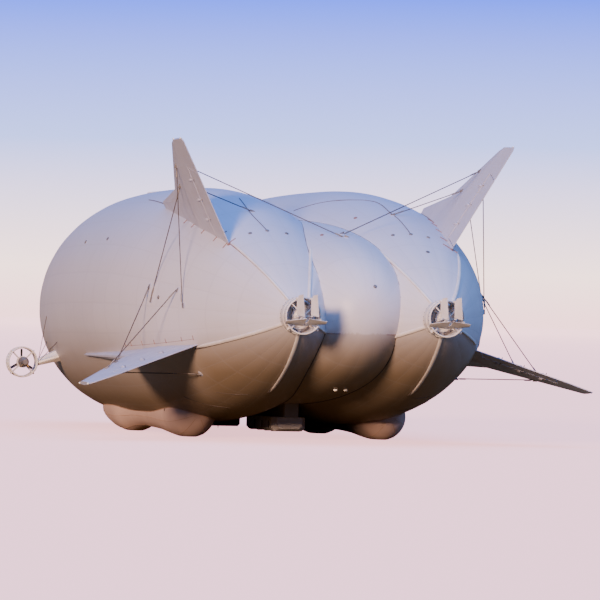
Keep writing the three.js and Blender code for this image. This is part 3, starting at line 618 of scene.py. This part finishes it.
# Paths over the hull, as rows of x and degrees on a lobe
def curveThrough(rows, steps):
    out = []
    for i in range(len(rows) - 1):
        four = [rows[min(max(k, 0), len(rows) - 1)] for k in (i - 1, i, i + 1, i + 2)]
        for j in range(steps):
            t = j / steps
            square, cube = t * t, t ** 3
            point = []
            for a, b, c, d in zip(*four):
                bend = (c - a) * t + (2 * a - 5 * b + 4 * c - d) * square + (3 * b - a - 3 * c + d) * cube
                point.append(b + 0.5 * bend)
            out.append(tuple(point))
    out.append(tuple(rows[-1]))
    return out


def surfacePath(lobe, side, rows, steps=8, proud=0.0):
    smooth = curveThrough(rows, steps)
    return [lobePoint(lobe, x, math.radians(degrees), side, proud) for x, degrees in smooth]


def outward(lobe, x, degrees, side):
    angle = math.radians(degrees)
    here = lobePoint(lobe, x, angle, side)
    along = lobePoint(lobe, x + nearby["x"], angle, side) - here
    around = lobePoint(lobe, x, math.radians(degrees + nearby["degrees"]), side) - here
    away = around.cross(along)
    if away.dot(here - lobeMiddle(lobe, x, side)) < 0:
        away = -away
    return away.normalized()


def surfaceTree(name):
    node = nodes[name]
    points = [node.matrix_world @ v.co for v in node.data.vertices]
    return BVHTree.FromPolygons(points, [tuple(p.vertices) for p in node.data.polygons])


# Landing tubes
landing = {
    "y": 0.852,
    "z": 0.200,
    "around": 72,
    "steps": 8,
    "cord": 0.006,
    "seamAngles": [-60, -20, 20],
    "seamRadius": 0.0022,
    "seamFrom": 0.05,
    "valves": [(0.62, 12), (-1.25, 8)],
    "valveRadius": 0.013,
    "valve": [(-0.004, 1.0), (0.004, 1.0), (0.006, 0.7), (0.003, 0.5)],
    # Columns: x, radius
    "profile": [
        (-1.660, 0.003), (-1.650, 0.070), (-1.600, 0.130), (-1.500, 0.186), (-1.380, 0.206), (-1.180, 0.206),
        (-0.880, 0.192), (-0.400, 0.164), (0.250, 0.150), (0.600, 0.174), (0.850, 0.206), (1.050, 0.206),
        (1.400, 0.178), (1.750, 0.132), (1.970, 0.084), (2.040, 0.044), (2.050, 0.003),
    ],
}


def tubePoint(x, radius, degrees, side):
    angle = math.radians(degrees)
    across = landing["y"] + radius * math.cos(angle)
    return Vector((x, side * across, max(0.0, landing["z"] + radius * math.sin(angle))))


def makeLandingTube(sideName, side):
    rows = curveThrough(landing["profile"], landing["steps"])
    count = landing["around"]
    body = newShape()
    loops = []
    for x, radius in rows:
        loops.append([tubePoint(x, radius, 360 * k / count, side) for k in range(count)])
    addLoops(body, loops)
    shapePiece("tube_" + sideName, body, "tube", slot="tube_fabric", stands=["landing_tube_" + sideName])
    cords = newShape()
    for step in (1, -1):
        path = []
        for x, radius in rows:
            for k in range(180):
                point = tubePoint(x, radius, -90 + step * k, side)
                if lobeDepth(lobes["side"], point, side) > 0:
                    path.append(point)
                    break
        addTube(cords, path, landing["cord"], 10)
    inner = [row for row in rows if row[1] > landing["seamFrom"]]
    for degrees in landing["seamAngles"]:
        for turn in (degrees, 180 - degrees):
            path = [tubePoint(x, radius, turn, side) for x, radius in inner]
            addTube(cords, path, landing["seamRadius"], 6)
    shapePiece("tube_cords_" + sideName, cords, "tubeTrim", slot="tube_fabric")
    caps = newShape()
    for x, degrees in landing["valves"]:
        radius = next(r for at, r in rows if at >= x)
        angle = math.radians(degrees)
        away = Vector((0, side * math.cos(angle), math.sin(angle)))
        profile = scaled(landing["valve"], landing["valveRadius"])
        addTurned(caps, tubePoint(x, radius, degrees, side), away, profile, 24)
    shapePiece("tube_valves_" + sideName, caps, "rope", slot="tube_fabric")


for sideName, side in sides.items():
    makeLandingTube(sideName, side)
print("landing tubes made")


# Cords, patches and fittings on the hull
trim = {
    "cable": 0.0036,
    "cableProud": 0.002,
    "dot": {"radius": 0.016, "height": 0.010},
    "lamp": {"radius": 0.018, "height": 0.016},
    # Columns: side, rows of x and degrees on the side lobe
    "cables": [
        (-1, [
            (-1.242, 56.4), (-1.626, 73.7), (-1.768, 80.1), (-1.974, 90), (-2.456, 90.3), (-2.678, 91.5),
            (-3.116, 91.6),
        ]),
        (1, [(-1.942, 91.3), (-2.63, 87.8), (-3.116, 89.5)]),
        (1, [(-0.576, 62.1), (-1.505, 59.8), (-2.205, 59.4)]),
        (-1, [(-0.576, 117.9), (-1.505, 120.2), (-2.205, 120.6)]),
    ],
    "bellyLines": [[(-2.718, -65.1), (-2.968, -81.9)], [(-2.109, -58.8), (-2.365, -81.8)]],
    "bellyLineRadius": 0.003,
    # Painted shade: dark cords beside the two lower tail strips, standing for the shade along each strip.
    # Columns: radius, rows of x and degrees
    "stripShadeLines": [
        (0.007, [(-4.23, -29.3), (-3.6, -29.25), (-3.1, -29.2)]),
        (0.005, [(-4.23, -92.4), (-3.6, -92.6), (-3.1, -92.8)]),
    ],
    # Painted shade: a red-brown line under the upper tail strip, standing for its reddish shade.
    "upperStripShadeLine": (0.004, [(-4.22, 57.6), (-3.7, 57.9), (-3.22, 57.9)]),
    # Columns: lobe, side, x, degrees
    "dots": [
        ("side", -1, -3.119, 78), ("side", -1, -3.126, 104.6), ("side", -1, -3.498, 97.4),
        ("side", -1, -3.116, 91.6), ("side", 1, -3.116, 89.5), ("side", 1, -3.145, 76.1),
        ("side", 1, -3.119, 104), ("centre", 1, -4.086, 110.9), ("side", 1, -0.67, 32.9),
        ("side", 1, 0.278, 31.7), ("side", 1, -2.561, 5.5), ("side", -1, -0.67, 147.1),
        ("side", -1, 0.278, 148.3), ("side", -1, -2.561, 174.5),
    ],
    "redDots": [
        ("side", -1, -2.463, 68.8), ("centre", 1, -3.1, 77.8), ("side", 1, -3.21, 57.2),
        ("side", -1, -3.21, 122.8),
    ],
    "bellyLamps": [("centre", 1, -3.133, -89.8), ("centre", 1, -3.107, -98)],
    # Lacing across the fins' roots, the upper fins first
    "ticks": [
        {
            "length": 0.065, "radius": 0.0042, "lean": 0.012, "proud": 0.003, "angles": [54.8, 61.4],
            "places": [-2.238, -2.442, -2.694, -2.971, -3.182],
        },
        {
            "length": 0.040, "radius": 0.0035, "lean": 0.0, "proud": 0.002, "angles": [-20.9],
            "places": [-1.686, -1.837, -2.114, -2.393, -2.632, -2.931, -3.13],
        },
    ],
    "foot": {"radius": 0.0025, "angle": -21.9, "places": [-1.66, -2.1, -2.6, -3.14]},
    # The line at the height where the painted underside shade of the centre lobe begins
    "centreSeam": {"height": 0.925, "from": -3.15, "length": 0.90, "steps": 24, "radius": 0.0028},
    "valves": [("centre", 1, 0.6, 90), ("centre", 1, -1.4, 90), ("side", 1, 0.9, 84), ("side", -1, 0.9, 96)],
    "valveRadius": 0.075,
    "valveRim": [(-0.01, 1.25), (0.003, 1.2), (0.007, 1.0), (0.003, 0.9), (-0.01, 0.9)],
    "valveLid": [(-0.008, 0.86), (0.004, 0.86), (0.008, 0.6)],
    "valveTip": (0.009, 0.01),
    "battens": {"count": 12, "from": 4.385, "to": 4.12, "radius": 0.006},
}


def mirrored(rows, side):
    return rows if side > 0 else [(x, 180 - degrees) for x, degrees in rows]


def addDot(shape, lobeName, side, x, degrees, size):
    lobe = lobes[lobeName]
    radius, height = size["radius"], size["height"]
    profile = [(-height, radius), (height * 0.6, radius), (height, radius * 0.75)]
    here = lobePoint(lobe, x, math.radians(degrees), side)
    addTurned(shape, here, outward(lobe, x, degrees, side), profile, 20)


def addTicks(shape, lobe, side):
    for tick in trim["ticks"]:
        lean = tick["lean"]
        for x in tick["places"]:
            half = math.degrees(tick["length"] / 2 / lobeSection(lobe, x)[0])
            for middle in tick["angles"]:
                turn = mirrored([(x - lean, middle - half), (x, middle), (x + lean, middle + half)], side)
                addTube(shape, surfacePath(lobe, side, turn, 3, tick["proud"]), tick["radius"])
    foot = trim["foot"]
    rows = mirrored([(x, foot["angle"]) for x in foot["places"]], side)
    addTube(shape, surfacePath(lobe, side, rows, 6), foot["radius"])


def addCentreSeam(shape):
    seam = trim["centreSeam"]
    half = []
    for i in range(seam["steps"]):
        x = seam["from"] - seam["length"] * math.sin((i + 1) / (seam["steps"] + 1) * math.pi / 2)
        radius, y, z, wide, crease = lobeSection(lobes["centre"], x)
        half.append((x, -math.asin((z - seam["height"]) / radius)))
    whole = half + [(x, math.pi - angle) for x, angle in reversed(half)]
    addTube(shape, [lobePoint(lobes["centre"], x, angle) for x, angle in whole], seam["radius"])


def makeHullTrim():
    lines, dots, red, lights = newShape(), newShape(), newShape(), newShape()
    lobe = lobes["side"]
    for side, rows in trim["cables"]:
        addTube(lines, surfacePath(lobe, side, rows, 8, trim["cableProud"]), trim["cable"])
    for rows in trim["bellyLines"]:
        for side in (1, -1):
            addTube(lines, surfacePath(lobe, side, mirrored(rows, side), 12), trim["bellyLineRadius"])
    # Painted strip shade lines on both tails.
    for side in (1, -1):
        for radius, rows in trim["stripShadeLines"]:
            addTube(lines, surfacePath(lobe, side, rows, 16), radius)
        radius, rows = trim["upperStripShadeLine"]
        addTube(red, surfacePath(lobe, side, rows, 16), radius)
    for row in trim["dots"]:
        addDot(dots, *row, trim["dot"])
    for row in trim["redDots"]:
        addDot(red, *row, trim["dot"])
    for side in (1, -1):
        addTicks(red, lobe, side)
    addCentreSeam(red)
    for row in trim["bellyLamps"]:
        addDot(lights, *row, trim["lamp"])
    # The lines piece also holds the painted strip shade lines, and the lacing piece holds the painted red
    # shade line.
    shapePiece("hull_lines", lines, "rope", slot="stay_cable")
    shapePiece("hull_dots", dots, "metal", slot="engine_metal")
    shapePiece("hull_lacing_and_strip_shade", red, "lace", slot="hull_fabric")
    shapePiece("belly_lamps", lights, "lamp", slot="cabin_glass")


# Dark cords in the valleys between the lobes: partly a real line, partly painted crease shadow.
# Columns of its rows: degrees where the search starts, the way it turns, radius
valleyCordsAndCreaseShade = {
    "from": -3.95, "length": 7.6, "steps": 80, "degreeStep": 0.25,
    "rows": [(90, -1, 0.004), (-90, 1, 0.008)],
}


def makeValleyCordsAndCreaseShade():
    cords = newShape()
    for side in (1, -1):
        for start, turn, radius in valleyCordsAndCreaseShade["rows"]:
            path = []
            for i in range(valleyCordsAndCreaseShade["steps"] + 1):
                x = valleyCordsAndCreaseShade["from"] + valleyCordsAndCreaseShade["length"] * i / valleyCordsAndCreaseShade["steps"]
                for k in range(1, 360):
                    degrees = start + turn * k * valleyCordsAndCreaseShade["degreeStep"]
                    angle = math.radians(degrees if side > 0 else 180 - degrees)
                    point = lobePoint(lobes["centre"], x, angle)
                    if lobeDepth(lobes["side"], point, side) > 0:
                        path.append(point)
                        break
            addTube(cords, path, radius)
    # One dark cord holds both the real line and the painted crease shadow.
    shapePiece("valley_cords_and_crease_shade", cords, "rope", slot="stay_cable")


def makeGasValves():
    rims, lids = newShape(), newShape()
    wide = trim["valveRadius"]
    for lobeName, side, x, degrees in trim["valves"]:
        here = lobePoint(lobes[lobeName], x, math.radians(degrees), side)
        away = outward(lobes[lobeName], x, degrees, side)
        addTurned(rims, here, away, scaled(trim["valveRim"], wide), 48)
        addTurned(lids, here, away, scaled(trim["valveLid"], wide) + [trim["valveTip"]], 48)
    shapePiece("gas_valve_rims", rims, "strip", slot="hull_fabric")
    shapePiece("gas_valve_lids", lids, "metal", slot="engine_metal")


def makeNoseBattens():
    shape = newShape()
    row = trim["battens"]
    for k in range(row["count"]):
        degrees = 360 * (k + 0.5) / row["count"]
        rows = [(row["from"], degrees), ((row["from"] + row["to"]) / 2, degrees), (row["to"], degrees)]
        addTube(shape, surfacePath(lobes["centre"], 1, rows, 10), row["radius"])
    shapePiece("nose_battens", shape, "strip", slot="mooring_metal")


def topOf(x, y, passes=4):
    best = -1.0
    for lobe, side in (portLobe, starboardLobe, centreLobe):
        radius, lobeY, z, wide, crease = lobeSection(lobe, x)
        across = (y - side * lobeY) / wide
        reach = radius
        for _ in range(passes):
            up = math.sqrt(max(0.0, reach ** 2 - across ** 2))
            reach = radius * (1 - crease * creaseShare(math.atan2(up, across)))
        if abs(across) < reach:
            best = max(best, z + up)
    return best


# The port tail's upper strip runs along the valley to the centre lobe.
valleyStrip = {
    # Columns: lobe, x, degrees
    "ends": [("side", -4.20, 127), ("centre", -3.353, 60.8)],
    "steps": 32,
    "radius": 0.014,
    "tip": [0.011, 0.005],
}


def makeValleyStrip():
    shape = newShape()
    start, end = (lobePoint(lobes[name], x, math.radians(turn)) for name, x, turn in valleyStrip["ends"])
    steps = valleyStrip["steps"]
    path = []
    for i in range(steps + 1):
        point = start.lerp(end, i / steps)
        path.append((point.x, point.y, topOf(point.x, point.y)))
    addTube(shape, path, [valleyStrip["radius"]] * (steps - 1) + valleyStrip["tip"], 10)
    shapePiece("valley_strip", shape, "strip", slot="duct_shell")


makeHullTrim()
makeValleyCordsAndCreaseShade()
makeGasValves()
makeNoseBattens()
makeValleyStrip()
print("hull trim made")


# Fittings at both ends of each stay
stays = {
    "inset": 0.03,
    "length": 0.075,
    "buckleRadius": 0.0065,
    "endRadius": 0.004,
    "patchRadius": 0.028,
    "patch": [(-0.004, 1.0), (0.0024, 0.97), (0.004, 0.8)],
    "hullPlate": (0.022, 0.008, 0.005),
    "hullPlateOut": 0.008,
    "finPlate": (0.020, 0.012, 0.008),
    "endReach": 0.012,
}


def stayEnds(node):
    points = [node.matrix_world @ v.co for v in node.data.vertices]
    middle = sum(points, Vector()) / len(points)
    far = max(points, key=lambda p: (p - middle).length)
    other = max(points, key=lambda p: (p - far).length)
    ends = []
    for tip in (far, other):
        near = [p for p in points if (p - tip).length < stays["endReach"]]
        ends.append(sum(near, Vector()) / len(near))
    return ends


def hullNearest(point):
    rows = (portLobe, starboardLobe, centreLobe)
    return max(rows, key=lambda row: lobeDepth(row[0], point, row[1]))


def hullDepth(point):
    lobe, side = hullNearest(point)
    return lobeDepth(lobe, point, side)


def makeStayTrim():
    buckles, patches, plates = newShape(), newShape(), newShape()
    inset, length = stays["inset"], stays["length"]
    wide, narrow = stays["buckleRadius"], stays["endRadius"]
    buckle = [(0, narrow), (narrow, wide * 0.7), (length * 0.2, wide), (length * 0.8, wide), (length, narrow)]
    patch = scaled(stays["patch"], stays["patchRadius"])
    for name, node in nodes.items():
        if not name.startswith("stay_"):
            continue
        foot, top = sorted(stayEnds(node), key=hullDepth, reverse=True)
        along = (top - foot).normalized()
        addTurned(buckles, foot + along * inset, along, buckle, 12)
        addTurned(buckles, top - along * (inset + length), along, buckle, 12)
        lobe, side = hullNearest(foot)
        radius, y, z, share, crease = lobeSection(lobe, foot.x)
        degrees = math.degrees(math.atan2(foot.z - z, (foot.y - side * y) / share))
        away = outward(lobe, foot.x, degrees, side)
        here = lobePoint(lobe, foot.x, math.radians(degrees), side)
        addTurned(patches, here, away, patch, 32)
        spot = here + away * stays["hullPlateOut"]
        addBlock(plates, spot, (along, away, along.cross(away)), stays["hullPlate"])
        addBlock(plates, top, (along, along.cross(ahead), ahead), stays["finPlate"])
    shapePiece("stay_buckles", buckles, "metal", slot="engine_metal")
    shapePiece("stay_patches", patches, "fin", slot="hull_fabric")
    soften(shapePiece("stay_plates", plates, "metal", slot="engine_metal", smooth=False), 0.002)


makeStayTrim()
print("stay fittings made")


# Fins: hinge blisters, horns and tip lamps
fins = {
    "upper": {
        "y": 0.684, "z": 1.140, "angle": 61.5,
        "hinge": [(-2.976, 0.690), (-3.170, 1.310)], "tip": [-3.10, -3.38],
    },
    "lower": {
        "y": 0.684, "z": 0.990, "angle": -19.3,
        "hinge": [(-2.950, 0.690), (-3.190, 1.310)], "tip": [-3.02, -3.36],
    },
    "castFrom": {"face": 0.2, "tip": 1.9},
    "blisters": [0.22, 0.52, 0.82],
    "blister": [(0.0, 0.002), (0.012, 0.009), (0.035, 0.014), (0.065, 0.014), (0.085, 0.010), (0.092, 0.004)],
    "blisterCast": 0.07,
    "blisterBack": 0.045,
    "horn": (0.014, 0.016, 0.002),
    "hornTaper": 0.5,
    "hornBack": 0.035,
    "lamp": [(0, 0.008), (0.010, 0.008), (0.014, 0.005), (0.015, 0.001)],
    "lampSink": 0.004,
}


def finPoint(fin, x, reach, side, off=0.0):
    angle = math.radians(fin["angle"])
    y = fin["y"] + reach * math.cos(angle) - off * math.sin(angle)
    return Vector((x, side * y, fin["z"] + reach * math.sin(angle) + off * math.cos(angle)))


def makeFinTrim(finName, sideName, side):
    fin = fins[finName]
    tail = finName + "_" + sideName
    face, flap = surfaceTree("fin_" + tail), surfaceTree("control_surface_" + tail)
    blisters, horns, tips = newShape(), newShape(), newShape()
    (rootX, rootReach), (tipX, tipReach) = fin["hinge"]
    for share in fins["blisters"]:
        x, reach = rootX + (tipX - rootX) * share, rootReach + (tipReach - rootReach) * share
        for hand in (1, -1):
            off = finPoint(fin, x, reach, side, fins["castFrom"]["face"] * hand)
            toward = (finPoint(fin, x, reach, side) - off).normalized()
            spot = face.ray_cast(off + ahead * fins["blisterCast"], toward)[0]
            if spot:
                addTurned(blisters, spot - ahead * fins["blisterBack"], ahead, fins["blister"], 20)
            spot = flap.ray_cast(off - ahead * fins["hornBack"], toward)[0]
            if spot:
                directions = (-toward, ahead, toward.cross(ahead))
                middle = spot - toward * fins["horn"][0] * 0.5
                addBlock(horns, middle, directions, fins["horn"], fins["hornTaper"])
    for x in fin["tip"]:
        along = (finPoint(fin, x, 1.0, side) - finPoint(fin, x, 0.0, side)).normalized()
        spot = face.ray_cast(finPoint(fin, x, fins["castFrom"]["tip"], side), -along)[0]
        if spot:
            addTurned(tips, spot - along * fins["lampSink"], along, fins["lamp"], 16)
    flapBody = "control_surface_" + tail
    shapePiece("hinge_blisters_" + tail, blisters, "fin", slot="fin_fabric")
    shapePiece("control_horns_" + tail, horns, "metal", body=flapBody, slot="engine_metal", smooth=False)
    shapePiece("tip_lamps_" + tail, tips, "lamp", slot="cabin_glass")


for sideName, side in sides.items():
    for finName in ("upper", "lower"):
        makeFinTrim(finName, sideName, side)
print("fin trim made")


# Ducts: rounded lips, a hoop, bolts and side fittings
ducts = {
    "stern": {
        "y": 0.607, "z": 1.066, "front": -4.238, "back": -4.440,
        "outer": 0.153, "inner": 0.142, "hoop": -4.345,
    },
    "forward": {
        "y": 1.741, "z": 0.593, "front": 1.860, "back": 1.744,
        "outer": 0.138, "inner": 0.127, "hoop": 1.802,
    },
    "bead": 0.0072,
    "beadSides": 12,
    "hoop": {"half": 0.008, "proud": 0.004, "sink": 0.002},
    "bolts": {"count": 28, "inset": 0.016, "sink": 0.001},
    "boltRadius": 0.0035,
    "bolt": [(0, 1.0), (0.003, 1.0), (0.004, 0.6)],
    "fittingAngles": [-42, -138],
    "fittingInset": 0.03,
    "fitting": [(-0.004, 0.013), (0.012, 0.013), (0.016, 0.009), (0.020, 0.009), (0.022, 0.005)],
}


def spoke(angle, lean=0.0):
    return Vector((lean, math.cos(angle), math.sin(angle)))


def makeDuctTrim(kind, sideName, side):
    duct = ducts[kind]
    body = "forward_unit_" + sideName if kind == "forward" else "hull"
    centre = Vector((0, side * duct["y"], duct["z"]))
    lips, bolts = newShape(), newShape()
    middle = (duct["outer"] + duct["inner"]) / 2
    for x in (duct["front"], duct["back"]):
        turns = [2 * math.pi * k / ducts["beadSides"] for k in range(ducts["beadSides"])]
        profile = [(x + ducts["bead"] * math.cos(t), middle + ducts["bead"] * math.sin(t)) for t in turns]
        addTurned(lips, centre, ahead, profile, 96, closed=True)
    rear, front = duct["hoop"] - ducts["hoop"]["half"], duct["hoop"] + ducts["hoop"]["half"]
    low, high = duct["outer"] - ducts["hoop"]["sink"], duct["outer"] + ducts["hoop"]["proud"]
    addTurned(lips, centre, ahead, [(rear, low), (rear, high), (front, high), (front, low)], 96, closed=True)
    row = ducts["bolts"]
    for k in range(row["count"]):
        away = spoke(2 * math.pi * (k + 0.5) / row["count"])
        for x in (duct["front"] - row["inset"], duct["back"] + row["inset"]):
            spot = centre + away * (duct["outer"] - row["sink"]) + ahead * x
            addTurned(bolts, spot, away, scaled(ducts["bolt"], ducts["boltRadius"]), 8)
    if kind == "stern":
        for degrees in ducts["fittingAngles"]:
            away = spoke(math.radians(degrees))
            spot = centre + away * duct["outer"] + ahead * (duct["back"] + ducts["fittingInset"])
            addTurned(lips, spot, away, ducts["fitting"], 20)
    shapePiece(kind + "_lips_" + sideName, lips, "duct", body=body, slot="duct_shell")
    shapePiece(kind + "_bolts_" + sideName, bolts, "metal", body=body, slot="duct_shell")


for sideName, side in sides.items():
    for kind in ("stern", "forward"):
        makeDuctTrim(kind, sideName, side)
print("duct trim made")


# Forward units: spinner, exhausts and wires from the pylon to the hull
unit = {
    "spinner": [(-0.002, 0.0215), (0.010, 0.020), (0.020, 0.015), (0.026, 0.008), (0.028, 0.001)],
    "spinnerX": 1.838,
    "exhaust": [(0.036, 0.008), (0.060, 0.008), (0.061, 0.006), (0.050, 0.0055)],
    "exhaustPlaces": [(1.70, -50), (1.70, -130), (1.67, -50), (1.67, -130)],
    "exhaustLean": -0.4,
    "wire": 0.0028,
    # Columns: x at the pylon, height over the axis, x at the hull, degrees on the lobe
    "wires": [(1.835, 0.012, 2.35, -20), (1.765, 0.012, 1.30, -20), (1.80, 0.022, 1.80, -6)],
    "wireY": 1.588,
}


def makeUnitTrim(sideName, side):
    centre = Vector((0, side * ducts["forward"]["y"], ducts["forward"]["z"]))
    spinner, pipes, wires = newShape(), newShape(), newShape()
    turning, tilting = "forward_propeller_" + sideName, "forward_unit_" + sideName
    addTurned(spinner, centre + ahead * unit["spinnerX"], ahead, unit["spinner"], 32)
    shapePiece("forward_spinner_" + sideName, spinner, "metal", body=turning, slot="engine_metal")
    for x, degrees in unit["exhaustPlaces"]:
        away = spoke(math.radians(degrees), unit["exhaustLean"])
        addTurned(pipes, centre + ahead * x, away, unit["exhaust"], 16)
    shapePiece("forward_exhausts_" + sideName, pipes, "brass", body=tilting, slot="engine_metal")
    for x, up, hullX, degrees in unit["wires"]:
        start = Vector((x, side * unit["wireY"], centre.z + up))
        angle = math.radians(degrees if side > 0 else 180 - degrees)
        addTube(wires, [start, lobePoint(lobes["side"], hullX, angle, side)], unit["wire"])
    shapePiece("pylon_wires_" + sideName, wires, "cable", slot="stay_cable")


for sideName, side in sides.items():
    makeUnitTrim(sideName, side)
print("forward units made")


# Cabin, pod and beam
cabin = {
    "wall": 0.170,
    "windows": [(1.240, 1.360), (1.420, 1.540), (1.600, 1.720)],
    "low": 0.104,
    "high": 0.170,
    "frame": 0.0045,
    "frameProud": 0.003,
    "handle": {"x": 1.866, "low": 0.102, "high": 0.122, "radius": 0.0022, "off": 0.009, "sink": 0.002},
    # Columns: x, distance out from the wall, height
    "rail": [(1.84, -0.0051, 0.072), (1.848, 0.014, 0.060), (1.922, 0.014, 0.060), (1.93, -0.0051, 0.072)],
    "railRadius": 0.003,
    "antennas": [1.30, 1.62, 1.95],
    "antennaZ": 0.038,
    "antenna": (0.012, 0.012, 0.0015),
    "antennaTaper": 0.6,
    "lampPlace": (2.150, 0.035, 0.078),
    "lamp": [(-0.006, 0.012), (0.004, 0.012), (0.006, 0.009), (0.003, 0.008)],
    "straps": [-1.35, -1.10, -0.82, -0.55],
    "strapPath": [
        (-0.153, 0.150), (-0.153, 0.088), (-0.126, 0.061), (0.126, 0.061), (0.153, 0.088), (0.153, 0.150),
    ],
    "strapRadius": 0.004,
    "ribs": [-0.30, -0.05, 0.20, 0.45, 0.70, 0.95],
    "ribZ": 0.177,
    "rib": (0.006, 0.064, 0.005),
}


def makeCabinFittings():
    frames, rails, lights, straps = newShape(), newShape(), newShape(), newShape()
    low, high, bar = cabin["low"], cabin["high"], cabin["frame"]
    grip = cabin["handle"]
    across, up = Vector((0, 1, 0)), Vector((0, 0, 1))
    for sideName, side in sides.items():
        y = side * cabin["wall"]
        for rear, front in cabin["windows"]:
            ring = [(rear, low), (front, low), (front, high), (rear, high)]
            for (x1, z1), (x2, z2) in zip(ring, ring[1:] + ring[:1]):
                along = Vector((x2 - x1, 0, z2 - z1))
                middle = ((x1 + x2) / 2, y, (z1 + z2) / 2)
                halves = (along.length / 2 + bar, cabin["frameProud"], bar)
                addBlock(frames, middle, (along, across, along.cross(across)), halves)
        addTube(rails, [(x, y + side * out, z) for x, out, z in cabin["rail"]], cabin["railRadius"])
        inner, outer = y - side * grip["sink"], y + side * grip["off"]
        ends = [(inner, grip["low"]), (outer, grip["low"]), (outer, grip["high"]), (inner, grip["high"])]
        handle = newShape()
        addTube(handle, [(grip["x"], out, z) for out, z in ends], grip["radius"])
        door = "cabin_door_" + sideName
        shapePiece("door_handle_" + sideName, handle, "metal", body=door, slot="cabin_shell")
        lampX, lampY, lampZ = cabin["lampPlace"]
        addTurned(lights, (lampX, side * lampY, lampZ), ahead, cabin["lamp"], 20)
    for x in cabin["antennas"]:
        spot = (x, 0, cabin["antennaZ"])
        addBlock(rails, spot, (-up, ahead, across), cabin["antenna"], cabin["antennaTaper"])
    for x in cabin["straps"]:
        addTube(straps, [(x, y, z) for y, z in cabin["strapPath"]], cabin["strapRadius"], 6)
    for x in cabin["ribs"]:
        addBlock(straps, (x, 0, cabin["ribZ"]), (ahead, across, up), cabin["rib"])
    shapePiece("window_frames", frames, "beam", slot="cabin_shell", smooth=False)
    shapePiece("cabin_rails", rails, "metal", slot="cabin_shell")
    shapePiece("cabin_lamps", lights, "lamp", slot="cabin_glass")
    shapePiece("pod_straps", straps, "metal", slot="beam_paint")


makeCabinFittings()
print("cabin trim made")


# CAD nodes that keep their own shape
nodeFinish = {
    "fin": ("fin_", "control_surface_"),
    "cable": ("stay_",),
    "duct": ("stern_engine_", "stern_duct_", "stern_elevator_", "stern_rudder_", "pylon_", "forward_duct_"),
    "paleBlade": ("stern_propeller_",),
    "blade": ("forward_propeller_",),
    "glass": ("cabin_glazing",),
    "cabin": ("cabin", "fuel_pod"),
    "beam": ("payload_beam",),
    "metal": ("forward_engine_", "mooring_nose"),
}
for name, node in nodes.items():
    if name.startswith(("envelope", "landing_tube")):
        continue
    finish = next(key for key, starts in nodeFinish.items() if name.startswith(starts))
    node.data.materials.clear()
    node.data.materials.append(materials[finish])
print("CAD nodes dressed")


# Floor, light and backdrop
studio = {
    "floorHalf": 2000.0,
    "floor": (0.60, 0.46, 0.36),
    "floorGlow": (2.0, 0.96, 1.10),
    "floorFarGlow": (2.95, 1.5, 1.45),
    "floorFarFrom": (30.0, 450.0),
    "bounce": (0.15, 0.105, 0.05),
    # Columns: height as the sine of the angle over the horizon, colour
    "backdrop": [
        (0.0, (3.3, 1.9, 1.95)), (0.008, (3.4, 2.4, 2.25)), (0.030, (1.0, 1.2, 2.6)),
        (0.056, (0.14, 0.33, 2.6)),
    ],
    "ambient": (0.34, 0.42, 0.85),
    "ambientStrength": 0.36,
}


def makeFloor():
    half = studio["floorHalf"]
    corners = [(-half, -half, 0), (half, -half, 0), (half, half, 0), (-half, half, 0)]
    mesh = bpy.data.meshes.new("floor")
    mesh.from_pydata(corners, [], [(0, 1, 2, 3)])
    floor = newObject("floor", mesh)
    material, tree, shader, where = newMaterial("floor", 0.9)
    path = tree.nodes.new("ShaderNodeLightPath")
    tone = mixColours(tree, path.outputs["Is Camera Ray"], studio["bounce"], studio["floor"])
    tree.links.new(tone, shader.inputs["Base Color"])
    shader.inputs["Specular IOR Level"].default_value = 0.0
    away = ramp(tree, parts(tree, where)["X"], *studio["floorFarFrom"])
    near = mixColours(tree, away, studio["floorGlow"], studio["floorFarGlow"])
    glow = mixColours(tree, path.outputs["Is Camera Ray"], (0.0, 0.0, 0.0), near)
    tree.links.new(glow, shader.inputs["Emission Color"])
    shader.inputs["Emission Strength"].default_value = 1.0
    mesh.materials.append(material)


def makeWorld():
    world = bpy.data.worlds.new("studio")
    bpy.context.scene.world = world
    world.use_nodes = True
    tree = world.node_tree
    seen = tree.nodes["Background"]
    direction = tree.nodes.new("ShaderNodeTexCoord")
    up = parts(tree, direction.outputs["Generated"])["Z"]
    sky = None
    for (low, lowColour), (high, highColour) in zip(studio["backdrop"], studio["backdrop"][1:]):
        sky = mixColours(tree, ramp(tree, up, low, high), sky or lowColour, highColour)
    tree.links.new(sky, seen.inputs["Color"])
    lit = tree.nodes.new("ShaderNodeBackground")
    lit.inputs["Color"].default_value = (*studio["ambient"], 1.0)
    lit.inputs["Strength"].default_value = studio["ambientStrength"]
    path = tree.nodes.new("ShaderNodeLightPath")
    mix = tree.nodes.new("ShaderNodeMixShader")
    tree.links.new(path.outputs["Is Camera Ray"], mix.inputs[0])
    tree.links.new(lit.outputs[0], mix.inputs[1])
    tree.links.new(seen.outputs[0], mix.inputs[2])
    tree.links.new(mix.outputs[0], tree.nodes["World Output"].inputs["Surface"])


# Columns: name, direction towards the lamp, degrees it spreads over, strength, colour
lamps = [
    ("warm sun", (-0.80, 0.57, 0.20), 10.0, 5.6, (1.0, 0.62, 0.44)),
    ("blue sky", (-0.30, -0.20, 0.90), 110.0, 4.4, (0.17, 0.38, 1.0)),
]


def makeLamps():
    for name, toward, spread, power, colour in lamps:
        data = bpy.data.lights.new(name, "SUN")
        data.angle = math.radians(spread)
        data.energy = power
        data.color = colour
        lamp = newObject(name, data)
        lamp.location = Vector(toward) * 20
        lamp.rotation_mode = "QUATERNION"
        lamp.rotation_quaternion = Vector(toward).to_track_quat("Z", "Y")


makeFloor()
makeWorld()
makeLamps()
print("floor and light made")
